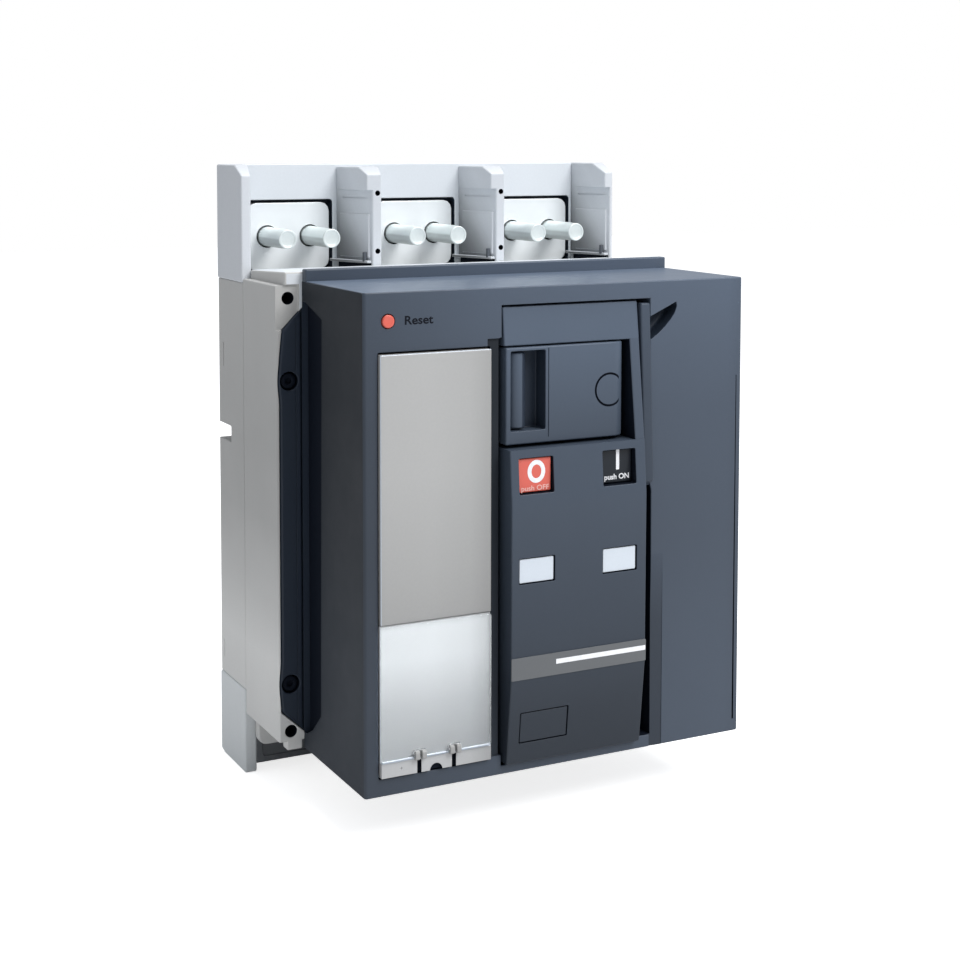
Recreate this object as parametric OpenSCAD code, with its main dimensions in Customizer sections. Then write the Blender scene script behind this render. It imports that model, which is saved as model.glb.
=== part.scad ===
// Three-pole moulded case circuit breaker with a stored-energy drive.
// Frame: +X to the right seen from the front, +Y to the rear, +Z up.
// Origin: centre of the four fixing holes, on the rear mounting face.
// In the helpers, x is measured from the centre line, d forward from the
// rear face and h upward from the foot.

/* [Body] */
// Distance between neighbouring poles
pole_pitch = 70; // [68:1:90]
// Height from the foot to the top of the terminal walls
body_h = 300; // [290:1:380]
// Depth of the rear base and of the terminal walls
base_d = 37; // [33:1:46]
// Depth from the rear face to the front of the case
case_d = 84; // [70:1:110]
// Height of the upper terminal block
upper_block_h = 57; // [52:1:70]
// How far the upper terminal block stands out from the sides of the case
side_step = 0.5; // [0:0.1:1.5]
// Height of the lower terminal block
lower_block_h = 42; // [40:1:60]
// Height of the rib on the top of the case
top_rib_h = 7; // [4:0.5:12]
// How far the rib on top stands in from the sides
top_rib_inset = 4; // [2:0.5:8]

/* [Terminals] */
// Thickness of a side wall at its front edge
wall_t = 5; // [3:0.5:8]
// Extra thickness of a side wall at its root
wall_root = 5; // [0:0.5:6]
// Thickness of a barrier between poles at its front edge
barrier_t = 8; // [6:0.5:12]
// Extra thickness of a barrier on each side at its root
barrier_root = 5.5; // [0:0.5:6]
// Thickness of the wall behind the terminal pads
back_wall_t = 10; // [8:0.5:14]
// Width of a terminal pad
pad_w = 44; // [30:1:46]
// Height of an upper terminal pad
pad_h = 34; // [26:1:40]
// Depth of the pockets in the walls on the right of the bays
wall_pocket_t = 3.2; // [2:0.1:3.5]
// Gap round a terminal pad
pad_gap = 1.5; // [1:0.1:3]
// Corner radius of a terminal pad
pad_r = 4.5; // [2:0.5:8]
// Diameter of a terminal stud
stud_d = 10; // [6:0.5:12]
// Clearance round the stud where it enters its pad
stud_clearance = 1.2; // [0.6:0.1:2]
// Distance between the two studs of a pad
stud_pitch = 23; // [16:0.5:28]
// Reach of an upper stud from the rear face
stud_reach = 38.5; // [30:0.5:60]
// Diameter of the small holes in the front edges of the barriers
barrier_hole_d = 3; // [1:0.5:5]

/* [Fixing] */
// Diameter of the through holes for the fixing bolts
fix_hole_d = 6; // [4:0.1:6.5]
// Distance of the fixing holes from the side faces
fix_inset = 6.5; // [5:0.5:9]
// Height of the lower fixing holes over the foot
fix_rise = 35; // [33:0.5:40]
// Distance between the lower and the upper fixing holes
fix_span = 204; // [190:1:214]
// Height of the notch in the rear edge of each side
notch_h = 8; // [4:0.5:14]
// Depth of the notch in the rear edge of each side
notch_d = 18; // [8:1:24]

/* [Front cover] */
// Depth of the front cover
cover_d = 72; // [56:1:90]
// How far the cover stands in from the left side
cover_inset = 13; // [11:0.5:18]
// Height of the cover's lower edge over the foot
cover_rise = 26; // [20:1:30]
// Height of the front cover
cover_h = 221; // [190:1:260]
// Height of the band along the rear of the cover's top
band_h = 5.5; // [3:0.5:10]
// Thickness of that band
band_t = 5; // [3:0.5:9]
// Radius of the cover's front corners
cover_r = 3; // [1:0.5:6]

/* [Trip unit] */
// Width of the trip unit's face
trip_w = 54.6; // [40:0.1:58]
// Margin between the cover's left side and the trip unit
trip_margin = 6.2; // [5:0.1:10]
// Margin below the trip unit
trip_sill = 8; // [6:0.5:14]
// Distance from the cover's top to the trip unit
trip_drop = 27; // [22:0.5:40]
// Height of the clear cover over the settings
clear_h = 59; // [40:1:80]
// Thickness of the clear cover
clear_t = 2.2; // [1.6:0.1:3]
// Height of the strip below the clear cover
strip_h = 7; // [5:0.5:10]
// How far the trip unit stands proud of the cover
trip_proud = 2; // [1:0.5:3]

/* [Drive] */
// Width of the drive's front
drive_w = 70.7; // [68:0.1:80]
// Distance from the cover's left side to the drive
drive_x = 67.8; // [65:0.1:76]
// Margin below and above the drive
drive_margin = 5; // [3:0.5:8]
// Distance from the cover's top to the drive's hood
drive_drop = 9; // [6:0.5:14]
// How far the drive's front stands proud of the cover at its middle
drive_bulge = 8.2; // [4:0.1:12]
// How far the drive's front stands proud of the cover at its lower end
drive_low = 3.3; // [1:0.1:6]
// How far the hood's upper edge lies behind the cover's front
hood_sink = 1.5; // [0:0.5:3]
// Height of the hood
hood_h = 17.5; // [12:0.5:24]
// Width of the column on the right of the charging handle
column_w = 5.2; // [3:0.1:6]
// Height of the charging handle
handle_h = 43.7; // [30:0.1:52]
// How far the charging handle stands proud of the cover
handle_proud = 1.7; // [1:0.1:5]
// Radius of the charging handle's pivot end
handle_r = 7; // [6:0.5:8]
// Diameter of the charging handle's pivot pin
pin_d = 4; // [2:0.5:6]
// Width of the grip recess in the charging handle
grip_w = 17.8; // [15:0.1:24]
// Width of the ON and OFF buttons
button_w = 16.8; // [12:0.1:20]
// Height of the ON and OFF buttons
button_h = 15.4; // [12:0.1:20]
// Travel of the ON, OFF and reset buttons
button_travel = 3; // [2:0.5:4]
// Running clearance round a moving piece
clearance = 0.4; // [0.3:0.1:0.8]
// Diameter of the reset button
reset_d = 5.8; // [4:0.2:8]

/* [Hidden] */
$fn = 64;
body_w = 3 * pole_pitch;
half_w = body_w / 2;
case_x = half_w - side_step;
front_d = case_d + cover_d;
z_foot = -(fix_rise + fix_span / 2);
poles = [-1, 0, 1];
base_h0 = lower_block_h;
base_h1 = body_h - upper_block_h;
case_h0 = fix_rise - 5;
case_h1 = base_h1 + 2;
rib_h1 = case_h1 + top_rib_h;
// Front chamfer on top of every terminal wall: depth and height
wall_chamfer_d = 10;
wall_chamfer_h = 5;
fix_x = half_w - fix_inset;
cover_x0 = -half_w + cover_inset;
cover_x1 = half_w;
cover_h1 = cover_rise + cover_h;
// Pads: the front of a pad lies just behind the face of the back wall
pad_front = back_wall_t - 1;
pad_back = 2;
pad_dish = 3;
upper_pad_h0 = base_h1 + 3.5;
stud_h = upper_pad_h0 + pad_h / 2;
lower_pad_h = lower_block_h - 8;
lower_pad_h0 = 4;
lower_stud_h = lower_pad_h0 + lower_pad_h / 2;
// The shield closes the front of the lower bays
shield_t = 3;
shield_gap = 0.3;
shield_h0 = 4;
lower_stud_reach = base_d - shield_t - 2;
// Side flange beside the cover
flange_t = 8;
flange_h0 = fix_rise - 0.5;
flange_h1 = fix_rise + fix_span - 5;
flange_slope = 10;
flange_screw_hs = [fix_rise + 22.5, fix_rise + fix_span - 38.5];
flange_screw_r = 4.1;
flange_screw_x = -half_w + fix_inset;
// Trip unit
trip_x0 = cover_x0 + trip_margin;
trip_x1 = trip_x0 + trip_w;
trip_h0 = cover_rise + trip_sill;
trip_h1 = cover_h1 - trip_drop;
trip_front = front_d + trip_proud;
trip_depth = 8;
trip_gap = 0.9;
strip_h1 = trip_h0 + strip_h;
clear_h0 = strip_h1 + 0.5;
clear_h1 = clear_h0 + clear_h;
hinge_r = clear_t / 2;
hinge_d = trip_front + 0.3;
hinge_h = clear_h1;
plate_h0 = hinge_h + hinge_r + 0.5;
lug_w = 5;
lug_xs = [trip_x0 + trip_w * 0.33, trip_x0 + trip_w * 0.68];
// Drive
drive_x0 = cover_x0 + drive_x;
drive_x1 = drive_x0 + drive_w;
drive_h0 = cover_rise + drive_margin;
drive_h1 = cover_h1 - drive_drop;
drive_pocket = 18;
drive_gap = 0.9;
groove_w = 3.2;
fascia_back = front_d - drive_pocket + 5;
hood_h0 = drive_h1 - hood_h;
handle_gap = 0.7;
handle_h1 = hood_h0 - handle_gap;
handle_h0 = handle_h1 - handle_h;
panel_h1 = handle_h0 - handle_gap - 0.9;
// Bends of the drive's front: below the handle and under the label
upper_bend_h = panel_h1 - 24;
panel_proud = drive_bulge - 1.9;
label_h = 10.2;
label_h0 = drive_h0 + 39.8;
label_proud = 0.4;
handle_front = front_d + handle_proud;
handle_x0 = drive_x0 + 0.3;
pivot_x = drive_x1 - column_w - 2 - handle_r;
pivot_d = handle_front - handle_r;
pin_fit = 0.05;
pin_hold = 2.8;
handle_t = 11;
grip_x0 = handle_x0 + 2.4;
grip_depth = 9;
grip_bar_r = 2.6;
grip_bar_sink = 3.5;
left_inset = 4.2;
right_inset = 5.5;
button_top = panel_h1 - 4.2;
off_x = drive_x0 + left_inset + clearance + button_w / 2;
on_x = drive_x1 - right_inset - clearance - button_w / 2;
button_len = 12;
off_sink = 3;
on_sink = 4.4;
window_w = 17.4;
window_h = 10.8;
window_h0 = drive_h0 + 83.6;
lock_x0 = drive_x0 + 6.2;
lock_w = 24;
lock_h = 13.6;
lock_h0 = drive_h0 + 9.9;
inlay_t = 1.2;
inlay_sink = 0.7;
inlay_gap = 0.5;
reset_x = cover_x0 + 11.6;
reset_h = cover_h1 - 12.7;
reset_len = 10;
bar_w = 5.2;
bar_x0 = drive_x1 + 1;
bar_h = 87;
bar_proud = 4.4;
scoop_r = 15;
seam_x = cover_x1 - 4;
seam_w = 0.8;

// ---- Helpers -------------------------------------------------------------

// Block between two x, two depths and two heights
module block(x0, x1, d0, d1, h0, h1) {
    translate([x0, -d1, z_foot + h0])
        cube([x1 - x0, d1 - d0, h1 - h0]);
}

// Round bar or bore that runs forward from depth d0 to d1
module rod(x, h, r, d0, d1) {
    translate([x, -d0, z_foot + h])
        rotate([90, 0, 0])
            cylinder(h = d1 - d0, r = r);
}

// Outline in x and h, extruded from depth d0 to d1
module face_shape(d0, d1) {
    translate([0, -d0, z_foot])
        rotate([90, 0, 0])
            linear_extrude(height = d1 - d0)
                children();
}

// Outline in x and forward depth, extruded from height h0 to h1
module plan_shape(h0, h1) {
    translate([0, 0, z_foot + h0])
        linear_extrude(height = h1 - h0)
            mirror([0, 1])
                children();
}

// Outline in forward depth and height, extruded from x0 to x1
module side_shape(x0, x1) {
    translate([x0, 0, z_foot])
        rotate([90, 0, 90])
            linear_extrude(height = x1 - x0)
                mirror([1, 0])
                    children();
}

// Rectangle with round corners made of true arcs
module round_rect(x0, x1, h0, h1, r) {
    translate([x0 + r, h0])
        square([x1 - x0 - 2 * r, h1 - h0]);
    translate([x0, h0 + r])
        square([x1 - x0, h1 - h0 - 2 * r]);
    for (x = [x0 + r, x1 - r], h = [h0 + r, h1 - r])
        translate([x, h])
            circle(r = r);
}

// ---- Case ----------------------------------------------------------------

module fixing_bores(d0, d1) {
    for (x = [-fix_x, fix_x], h = [fix_rise, fix_rise + fix_span])
        rod(x, h, fix_hole_d / 2, d0, d1);
}

module rear_base() {
    notch_w = 14;
    notch_h0 = base_h0 + 120;
    color([0.67, 0.68, 0.69])
    difference() {
        block(-case_x, case_x, 0, base_d, base_h0, base_h1);
        for (x = [-half_w - 1, half_w + 1 - notch_w])
            block(x, x + notch_w, -1, notch_d, notch_h0, notch_h0 + notch_h);
        fixing_bores(-1, base_d + 1);
    }
}

module mid_case() {
    rib_x = case_x - top_rib_inset;
    flange_x1 = -half_w + cover_inset;
    color([0.62, 0.63, 0.63])
    difference() {
        union() {
            block(-case_x, case_x, base_d, case_d, case_h0, case_h1);
            block(-rib_x, rib_x, base_d, case_d, case_h1, rib_h1);
            block(-rib_x, flange_x1 - 1, case_d - 6, case_d, case_h0 - 4, case_h0);
            lower_lip();
        }
        face_shape(case_d - flange_t, case_d + 1)
            flange_outline(0);
        fixing_bores(base_d - 1, case_d + 1);
        fixing_relief();
    }
}

// Rounded lip that hangs below the case in front of the lower shield
module lower_lip() {
    lip_h = 15;
    lip_x = half_w - wall_t;
    face_shape(base_d + 0.5, base_d + 6)
        round_rect(-lip_x, lip_x, case_h0 - lip_h, case_h0 + pad_r, pad_r);
}

// Cut-back round the upper left fixing hole
module fixing_relief() {
    relief_r = fix_hole_d / 2 + 1.6;
    rod(-fix_x, fix_rise + fix_span, relief_r, case_d - 1.2, case_d + 1);
    rod(-fix_x, fix_rise, relief_r, case_d - 1.2, case_d + 1);
}

module flange_outline(gap) {
    x1 = cover_x0 - gap;
    x0 = -case_x - (gap == 0 ? 1 : -gap);
    slope = x1 - x0;
    polygon([[x1, flange_h0 + gap], [x1, flange_h1 - gap],
        [x0, flange_h1 - flange_slope - gap], [x0, flange_h0 + flange_slope + gap]]);
}

module side_flange() {
    color([0.13, 0.15, 0.18])
    difference() {
        face_shape(case_d - flange_t + 0.1, case_d)
            flange_outline(0.3);
        for (h = flange_screw_hs)
            rod(flange_screw_x, h, flange_screw_r, case_d - flange_t / 2, case_d + 1);
    }
}

module flange_screws() {
    socket_r = 1.4;
    color([0.05, 0.06, 0.07])
    for (h = flange_screw_hs)
        difference() {
            rod(flange_screw_x, h, flange_screw_r - 0.3, case_d - flange_t / 2, case_d - 1);
            rod(flange_screw_x, h, socket_r, case_d - 3, case_d);
        }
}

// ---- Terminal blocks -----------------------------------------------------

// Side outline of a terminal wall that stands over height h0
module wall_side(h0, h1) {
    polygon([[0, h0], [base_d, h0], [base_d, h1 - wall_chamfer_h],
        [base_d - wall_chamfer_d, h1], [0, h1]]);
}

// Plan of the left side wall: it thickens towards the rear
module side_wall_plan() {
    polygon([[-half_w, 0], [-half_w + wall_t + wall_root, 0],
        [-half_w + wall_t + wall_root, back_wall_t],
        [-half_w + wall_t, base_d], [-half_w, base_d]]);
}

module barrier_plan() {
    root = barrier_t / 2 + barrier_root;
    polygon([[-root, back_wall_t], [root, back_wall_t],
        [barrier_t / 2, base_d], [-barrier_t / 2, base_d]]);
}

// Pocket in the left side of a wall, parallel to the wall's taper; x is
// the left end of the wall's front edge and root how much it tapers
module wall_pocket(x, root) {
    pocket_h = 45;
    pocket_d = 14;
    reach = 12;
    rear = root * (base_d - pocket_d) / (base_d - back_wall_t);
    plan_shape(base_h1 - 1, base_h1 + pocket_h)
        polygon([[x + wall_pocket_t, base_d], [x + wall_pocket_t, base_d + 1],
            [x - reach, base_d + 1], [x - reach, pocket_d],
            [x + wall_pocket_t - rear, pocket_d]]);
}

module upper_side_wall() {
    intersection() {
        side_shape(-half_w, -half_w + wall_t + wall_root)
            wall_side(base_h1, body_h);
        plan_shape(base_h1, body_h)
            side_wall_plan();
    }
}

module upper_left_wall() {
    color([0.63, 0.65, 0.67])
    upper_side_wall();
}

module upper_right_wall() {
    color([0.63, 0.65, 0.67])
    difference() {
        mirror([1, 0, 0])
            upper_side_wall();
        wall_pocket(half_w - wall_t, wall_root);
    }
}

module upper_barrier() {
    root = barrier_t / 2 + barrier_root;
    hole_hs = [base_h1 + 13.3, base_h1 + 42.5];
    difference() {
        intersection() {
            side_shape(-root, root)
                wall_side(base_h1, body_h);
            plan_shape(base_h1, body_h)
                barrier_plan();
        }
        wall_pocket(-barrier_t / 2, barrier_root);
        for (h = hole_hs)
            rod(barrier_t / 4, h, barrier_hole_d / 2, base_d - 8, base_d + 1);
    }
}

module upper_left_barrier() {
    color([0.70, 0.72, 0.74])
    translate([-pole_pitch / 2, 0, 0])
        upper_barrier();
}

module upper_right_barrier() {
    color([0.70, 0.72, 0.74])
    translate([pole_pitch / 2, 0, 0])
        upper_barrier();
}

// Wall behind the pads, between the roots of the side walls
module back_wall(h0, h1, pad_h0, pad_h1) {
    x1 = half_w - wall_t - wall_root;
    half_pad = pad_w / 2 + pad_gap;
    difference() {
        block(-x1, x1, 0, back_wall_t, h0, h1);
        for (p = poles)
            face_shape(pad_back, back_wall_t + 1)
                round_rect(p * pole_pitch - half_pad, p * pole_pitch + half_pad,
                    pad_h0 - pad_gap, pad_h1 + pad_gap, pad_r / 3);
    }
}

module upper_back_wall() {
    color([0.86, 0.88, 0.90])
    back_wall(base_h1, body_h, upper_pad_h0, upper_pad_h0 + pad_h);
}

module pad(pole, h0, h1) {
    x = pole * pole_pitch;
    bore_r = stud_d / 2 + stud_clearance;
    difference() {
        face_shape(pad_back, pad_front)
            round_rect(x - pad_w / 2, x + pad_w / 2, h0, h1, pad_r);
        for (s = [-0.5, 0.5])
            rod(x + s * stud_pitch, (h0 + h1) / 2, bore_r, pad_front - pad_dish, pad_front + 1);
    }
}

module upper_pad(pole) {
    color([0.90, 0.93, 0.95])
    pad(pole, upper_pad_h0, upper_pad_h0 + pad_h);
}

module upper_left_pad() {
    upper_pad(-1);
}

module upper_centre_pad() {
    upper_pad(0);
}

module upper_right_pad() {
    upper_pad(1);
}

// A stud stands in its pad and ends in a short cone
module stud(x, h, reach) {
    cone = 1;
    dish = 0.8;
    difference() {
        union() {
            rod(x, h, stud_d / 2, pad_front - pad_dish, reach - cone);
            translate([x, -reach + cone, z_foot + h])
                rotate([90, 0, 0])
                    cylinder(h = cone, r1 = stud_d / 2, r2 = stud_d / 2 - cone);
        }
        rod(x, h, stud_d / 2 - 2, reach - dish, reach + 1);
    }
}

module upper_studs() {
    color([0.80, 0.83, 0.85])
    for (p = poles, s = [-0.5, 0.5])
        stud(p * pole_pitch + s * stud_pitch, stud_h, stud_reach);
}

module lower_studs() {
    color([0.80, 0.83, 0.85])
    for (p = poles, s = [-0.5, 0.5])
        stud(p * pole_pitch + s * stud_pitch, lower_stud_h, lower_stud_reach);
}

// Screws on the floor of the upper bays, beside the walls on their right
module bay_screws() {
    screw_r = 2;
    screw_h = 9;
    color([0.35, 0.37, 0.40])
    for (x = [-pole_pitch / 2, pole_pitch / 2])
        translate([x - barrier_t / 2 - 5, -base_d + 5, z_foot + base_h1])
            cylinder(h = screw_h, r = screw_r);
    color([0.35, 0.37, 0.40])
    translate([half_w - wall_t - 5, -base_d + 5, z_foot + base_h1])
        cylinder(h = screw_h, r = screw_r);
}

// Side outline of a lower terminal wall
module foot_side() {
    toe = 5;
    polygon([[0, 1.2], [toe, 0], [base_d, 0], [base_d, lower_block_h],
        [0, lower_block_h]]);
}

// The wall carries a boss for the lower fixing bolt
module lower_side_wall() {
    boss_x = -fix_x + fix_hole_d / 2 + 1.5;
    boss_h0 = fix_rise - fix_hole_d / 2 - 1.5;
    union() {
        intersection() {
            side_shape(-half_w, -half_w + wall_t + wall_root)
                foot_side();
            plan_shape(0, lower_block_h)
                side_wall_plan();
        }
        block(-half_w, boss_x, back_wall_t, base_d, boss_h0, lower_block_h);
    }
}

module lower_left_wall() {
    color([0.67, 0.68, 0.70])
    difference() {
        lower_side_wall();
        fixing_bores(-1, base_d + 1);
    }
}

module lower_right_wall() {
    color([0.67, 0.68, 0.70])
    difference() {
        mirror([1, 0, 0])
            lower_side_wall();
        fixing_bores(-1, base_d + 1);
    }
}

module lower_barrier() {
    plan_d1 = base_d - shield_t - shield_gap;
    intersection() {
        plan_shape(0, lower_block_h)
            barrier_plan();
        block(-pole_pitch / 2, pole_pitch / 2, 0, plan_d1, 1.2, lower_block_h);
    }
}

module lower_left_barrier() {
    color([0.67, 0.68, 0.70])
    translate([-pole_pitch / 2, 0, 0])
        lower_barrier();
}

module lower_right_barrier() {
    color([0.67, 0.68, 0.70])
    translate([pole_pitch / 2, 0, 0])
        lower_barrier();
}

module lower_back_wall() {
    color([0.67, 0.68, 0.70])
    back_wall(1.2, lower_block_h, lower_pad_h0, lower_pad_h0 + lower_pad_h);
}

module lower_pad(pole) {
    color([0.90, 0.93, 0.95])
    pad(pole, lower_pad_h0, lower_pad_h0 + lower_pad_h);
}

module lower_left_pad() {
    lower_pad(-1);
}

module lower_centre_pad() {
    lower_pad(0);
}

module lower_right_pad() {
    lower_pad(1);
}

module lower_shield() {
    taper = wall_root * shield_t / (base_d - back_wall_t);
    x1 = half_w - wall_t - taper - shield_gap;
    color([0.19, 0.21, 0.24])
    block(-x1, x1, base_d - shield_t, base_d, shield_h0, case_h0 - shield_gap);
}

// ---- Front cover ---------------------------------------------------------

// Shadowed recess down the rear of the cover's left side
module side_recess() {
    recess_d = 21;
    recess_t = 3;
    edge = 9;
    side_shape(cover_x0 - 1, cover_x0 + recess_t)
        polygon([[case_d - 1, cover_rise + edge], [case_d + 9, cover_rise + edge],
            [case_d + recess_d, cover_rise + 2.2 * edge],
            [case_d + recess_d, cover_h1 - 2.8 * edge],
            [case_d, cover_h1 - 1.2 * edge], [case_d - 1, cover_h1 - 1.2 * edge]]);
}

module drive_pocket_cut() {
    block(drive_x0 - drive_gap, bar_x0 + bar_w + 0.2, front_d - drive_pocket, front_d + 1,
        drive_h0 - drive_gap, drive_h1 + drive_gap);
    block(drive_x0 - groove_w, drive_x0, front_d - drive_pocket, front_d + 1,
        drive_h0 + 4, hood_h0 + 4);
}

module trip_pocket_cut() {
    block(trip_x0 - trip_gap, trip_x1 + trip_gap, front_d - trip_depth, front_d + 1,
        trip_h0 - trip_gap, trip_h1 + trip_gap);
}

// Quarter-round finger scoop beside the top of the drive
module scoop_cut() {
    scoop_depth = 9;
    intersection() {
        translate([bar_x0 + bar_w, -front_d, z_foot + drive_h1 - 1])
            rotate([90, 0, 0])
                rotate_extrude()
                    polygon([[0, -scoop_depth], [scoop_r * 0.55, -scoop_depth],
                        [scoop_r, 1], [0, 1]]);
        block(bar_x0 + bar_w - 0.1, bar_x0 + bar_w + scoop_r, front_d - scoop_depth, front_d + 1,
            drive_h1 - 1 - scoop_r, drive_h1 - 1);
    }
}

module cover_blank() {
    plan_shape(cover_rise, cover_h1)
        union() {
            translate([cover_x0, case_d])
                square([cover_x1 - cover_x0, cover_d - cover_r]);
            translate([cover_x0 + cover_r, case_d])
                square([cover_x1 - cover_x0 - 2 * cover_r, cover_d]);
            for (x = [cover_x0 + cover_r, cover_x1 - cover_r])
                translate([x, front_d - cover_r])
                    circle(r = cover_r);
        }
}

module front_cover() {
    color([0.26, 0.29, 0.34])
    difference() {
        cover_blank();
        side_recess();
        trip_pocket_cut();
        drive_pocket_cut();
        scoop_cut();
        rod(reset_x, reset_h, reset_d / 2 + clearance, front_d - reset_len - button_travel - 1,
            front_d + 1);
        block(seam_x, seam_x + seam_w, front_d - 1.5, front_d + 1,
            cover_rise + 15, cover_rise + 174);
    }
}

module top_band() {
    color([0.23, 0.26, 0.30])
    block(cover_x0, cover_x1, case_d, case_d + band_t, cover_h1, cover_h1 + band_h);
}

// Slim wedge beside the top of the drive, proud of the cover at its lower end
module cover_bar() {
    bevel = 3;
    h0 = drive_h1 - bar_h;
    color([0.33, 0.37, 0.42])
    side_shape(bar_x0, bar_x0 + bar_w)
        polygon([[front_d - drive_pocket, h0], [front_d, h0],
            [front_d + bar_proud, h0 + bevel], [front_d + 0.2, drive_h1],
            [front_d - drive_pocket, drive_h1]]);
}

module reset_button() {
    head = 0.8;
    color([0.88, 0.30, 0.27])
    rod(reset_x, reset_h, reset_d / 2, front_d - reset_len, front_d + head);
}

// ---- Trip unit -----------------------------------------------------------

// Light base behind the clear cover
module trip_unit_base() {
    base_front = hinge_d - hinge_r - 0.3;
    color([0.84, 0.85, 0.86])
    block(trip_x0, trip_x1, front_d - trip_depth, base_front, clear_h0, plate_h0 - 0.2);
}

module trip_unit_plate() {
    color([0.70, 0.70, 0.70])
    block(trip_x0, trip_x1, front_d - trip_depth, trip_front, plate_h0, trip_h1);
}

module trip_unit_strip() {
    notch_r = 3;
    slot_w = 2.4;
    color([0.80, 0.81, 0.82])
    difference() {
        block(trip_x0, trip_x1, front_d - trip_depth, trip_front, trip_h0, strip_h1);
        rod(trip_x0 + trip_w / 2, trip_h0, notch_r, trip_front - 2, trip_front + 1);
        for (x = lug_xs)
            block(x - slot_w / 2, x + slot_w / 2, trip_front - 2, trip_front + 1,
                trip_h0 - 1, strip_h1 - 1.5);
    }
}

// Lugs on the strip that take the seals of the clear cover
module sealing_lugs() {
    lug_h = 1.8;
    color([0.76, 0.77, 0.78])
    for (x = lug_xs)
        difference() {
            block(x - lug_w / 2, x + lug_w / 2, trip_front, trip_front + 2.4,
                strip_h1 - lug_h - 0.6, strip_h1 - 0.2);
            translate([x - lug_w, -trip_front - 1.3, z_foot + strip_h1 - lug_h / 2 - 0.5])
                rotate([0, 90, 0])
                    cylinder(h = 2 * lug_w, r = 0.4);
        }
}

// Clear cover with its hinge barrel along the top edge
module clear_cover() {
    side = 0.6;
    color([0.85, 0.90, 0.93, 0.45])
    union() {
        block(trip_x0 + side, trip_x1 - side, hinge_d - hinge_r, hinge_d + hinge_r,
            clear_h0, hinge_h);
        translate([trip_x0 + side, -hinge_d, z_foot + hinge_h])
            rotate([0, 90, 0])
                cylinder(h = trip_w - 2 * side, r = hinge_r);
    }
}

// ---- Drive ---------------------------------------------------------------

// Side outline of the drive's front, moved back by sink
module fascia_side(sink) {
    polygon([[fascia_back, drive_h0], [front_d + drive_low - sink, drive_h0],
        [front_d + drive_bulge - 0.4 - sink, label_h0],
        [front_d + drive_bulge - sink, upper_bend_h],
        [front_d + panel_proud - sink, panel_h1],
        [front_d - hood_sink - sink, drive_h1], [fascia_back, drive_h1]]);
}

module drive_frame() {
    color([0.16, 0.18, 0.21])
    block(drive_x0, drive_x1, front_d - drive_pocket, fascia_back, drive_h0, drive_h1);
}

module pin_bore(h0, h1) {
    translate([pivot_x, -pivot_d, z_foot + h0])
        cylinder(h = h1 - h0, r = pin_d / 2 + pin_fit);
}

module button_cut(x, top) {
    half = button_w / 2 + clearance;
    block(x - half, x + half, fascia_back - 1, front_d + 20,
        top - button_h - 2 * clearance, top);
}

// Shallow pocket that follows the drive's front
module inlay_cut(x0, h0, w, h, sink) {
    intersection() {
        block(x0 - inlay_gap, x0 + w + inlay_gap, front_d - 5, front_d + 20,
            h0 - inlay_gap, h0 + h + inlay_gap);
        side_shape(x0 - inlay_gap, x0 + w + inlay_gap)
            difference() {
                fascia_side(-5);
                fascia_side(inlay_t + sink);
            }
    }
}

// Hood, column and panel are one moulding round the handle's bay
module drive_fascia() {
    color([0.27, 0.31, 0.36])
    difference() {
        side_shape(drive_x0, drive_x1)
            fascia_side(0);
        block(drive_x0 - 1, drive_x1 - column_w, fascia_back - 1, front_d + 20,
            panel_h1, hood_h0);
        button_cut(off_x, button_top + clearance);
        button_cut(on_x, button_top + clearance);
        inlay_cut(off_x - window_w / 2, window_h0, window_w, window_h, inlay_sink);
        inlay_cut(on_x - window_w / 2, window_h0, window_w, window_h, inlay_sink);
        inlay_cut(lock_x0, lock_h0, lock_w, lock_h, 0.2);
        pin_bore(panel_h1 - pin_hold, hood_h0 + pin_hold);
    }
}

// Thin piece that follows the drive's front
module inlay(x0, h0, w, h, low, top) {
    intersection() {
        block(x0, x0 + w, front_d - 5, front_d + 20, h0, h0 + h);
        side_shape(x0, x0 + w)
            difference() {
                fascia_side(top);
                fascia_side(low);
            }
    }
}

module window(x) {
    color([0.93, 0.93, 0.93])
    inlay(x - window_w / 2, window_h0, window_w, window_h, inlay_t + inlay_sink, inlay_sink);
}

module left_window() {
    window(off_x);
}

module right_window() {
    window(on_x);
}

module lock_plate() {
    color([0.20, 0.23, 0.27])
    inlay(lock_x0, lock_h0, lock_w, lock_h, inlay_t + 0.2, 0.2);
}

module label_band() {
    color([0.42, 0.43, 0.45])
    inlay(drive_x0, label_h0, drive_w, label_h, 0, -label_proud);
}

// Finger recess with a round grip bar along its left side
module grip_cut() {
    h0 = handle_h0 + 6;
    h1 = handle_h1 - 1.6;
    bar_x = grip_x0 + 1.3 + grip_bar_r;
    bar_d = handle_front - grip_bar_sink - grip_bar_r;
    difference() {
        block(grip_x0, grip_x0 + grip_w, handle_front - grip_depth, handle_front + 1, h0, h1);
        translate([bar_x, -bar_d, z_foot + h0 - 1])
            cylinder(h = h1 - h0 + 2, r = grip_bar_r);
        block(bar_x - grip_bar_r, bar_x + grip_bar_r, handle_front - grip_depth - 1, bar_d,
            h0 - 1, h1 + 1);
    }
}

// The handle turns about the vertical pin in its round right end
module charging_handle() {
    color([0.35, 0.38, 0.43])
    difference() {
        union() {
            block(handle_x0, pivot_x, handle_front - handle_t, handle_front,
                handle_h0, handle_h1);
            translate([pivot_x, -pivot_d, z_foot + handle_h0])
                cylinder(h = handle_h, r = handle_r);
        }
        grip_cut();
        pin_bore(handle_h0 - 1, handle_h1 + 1);
    }
}

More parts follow.
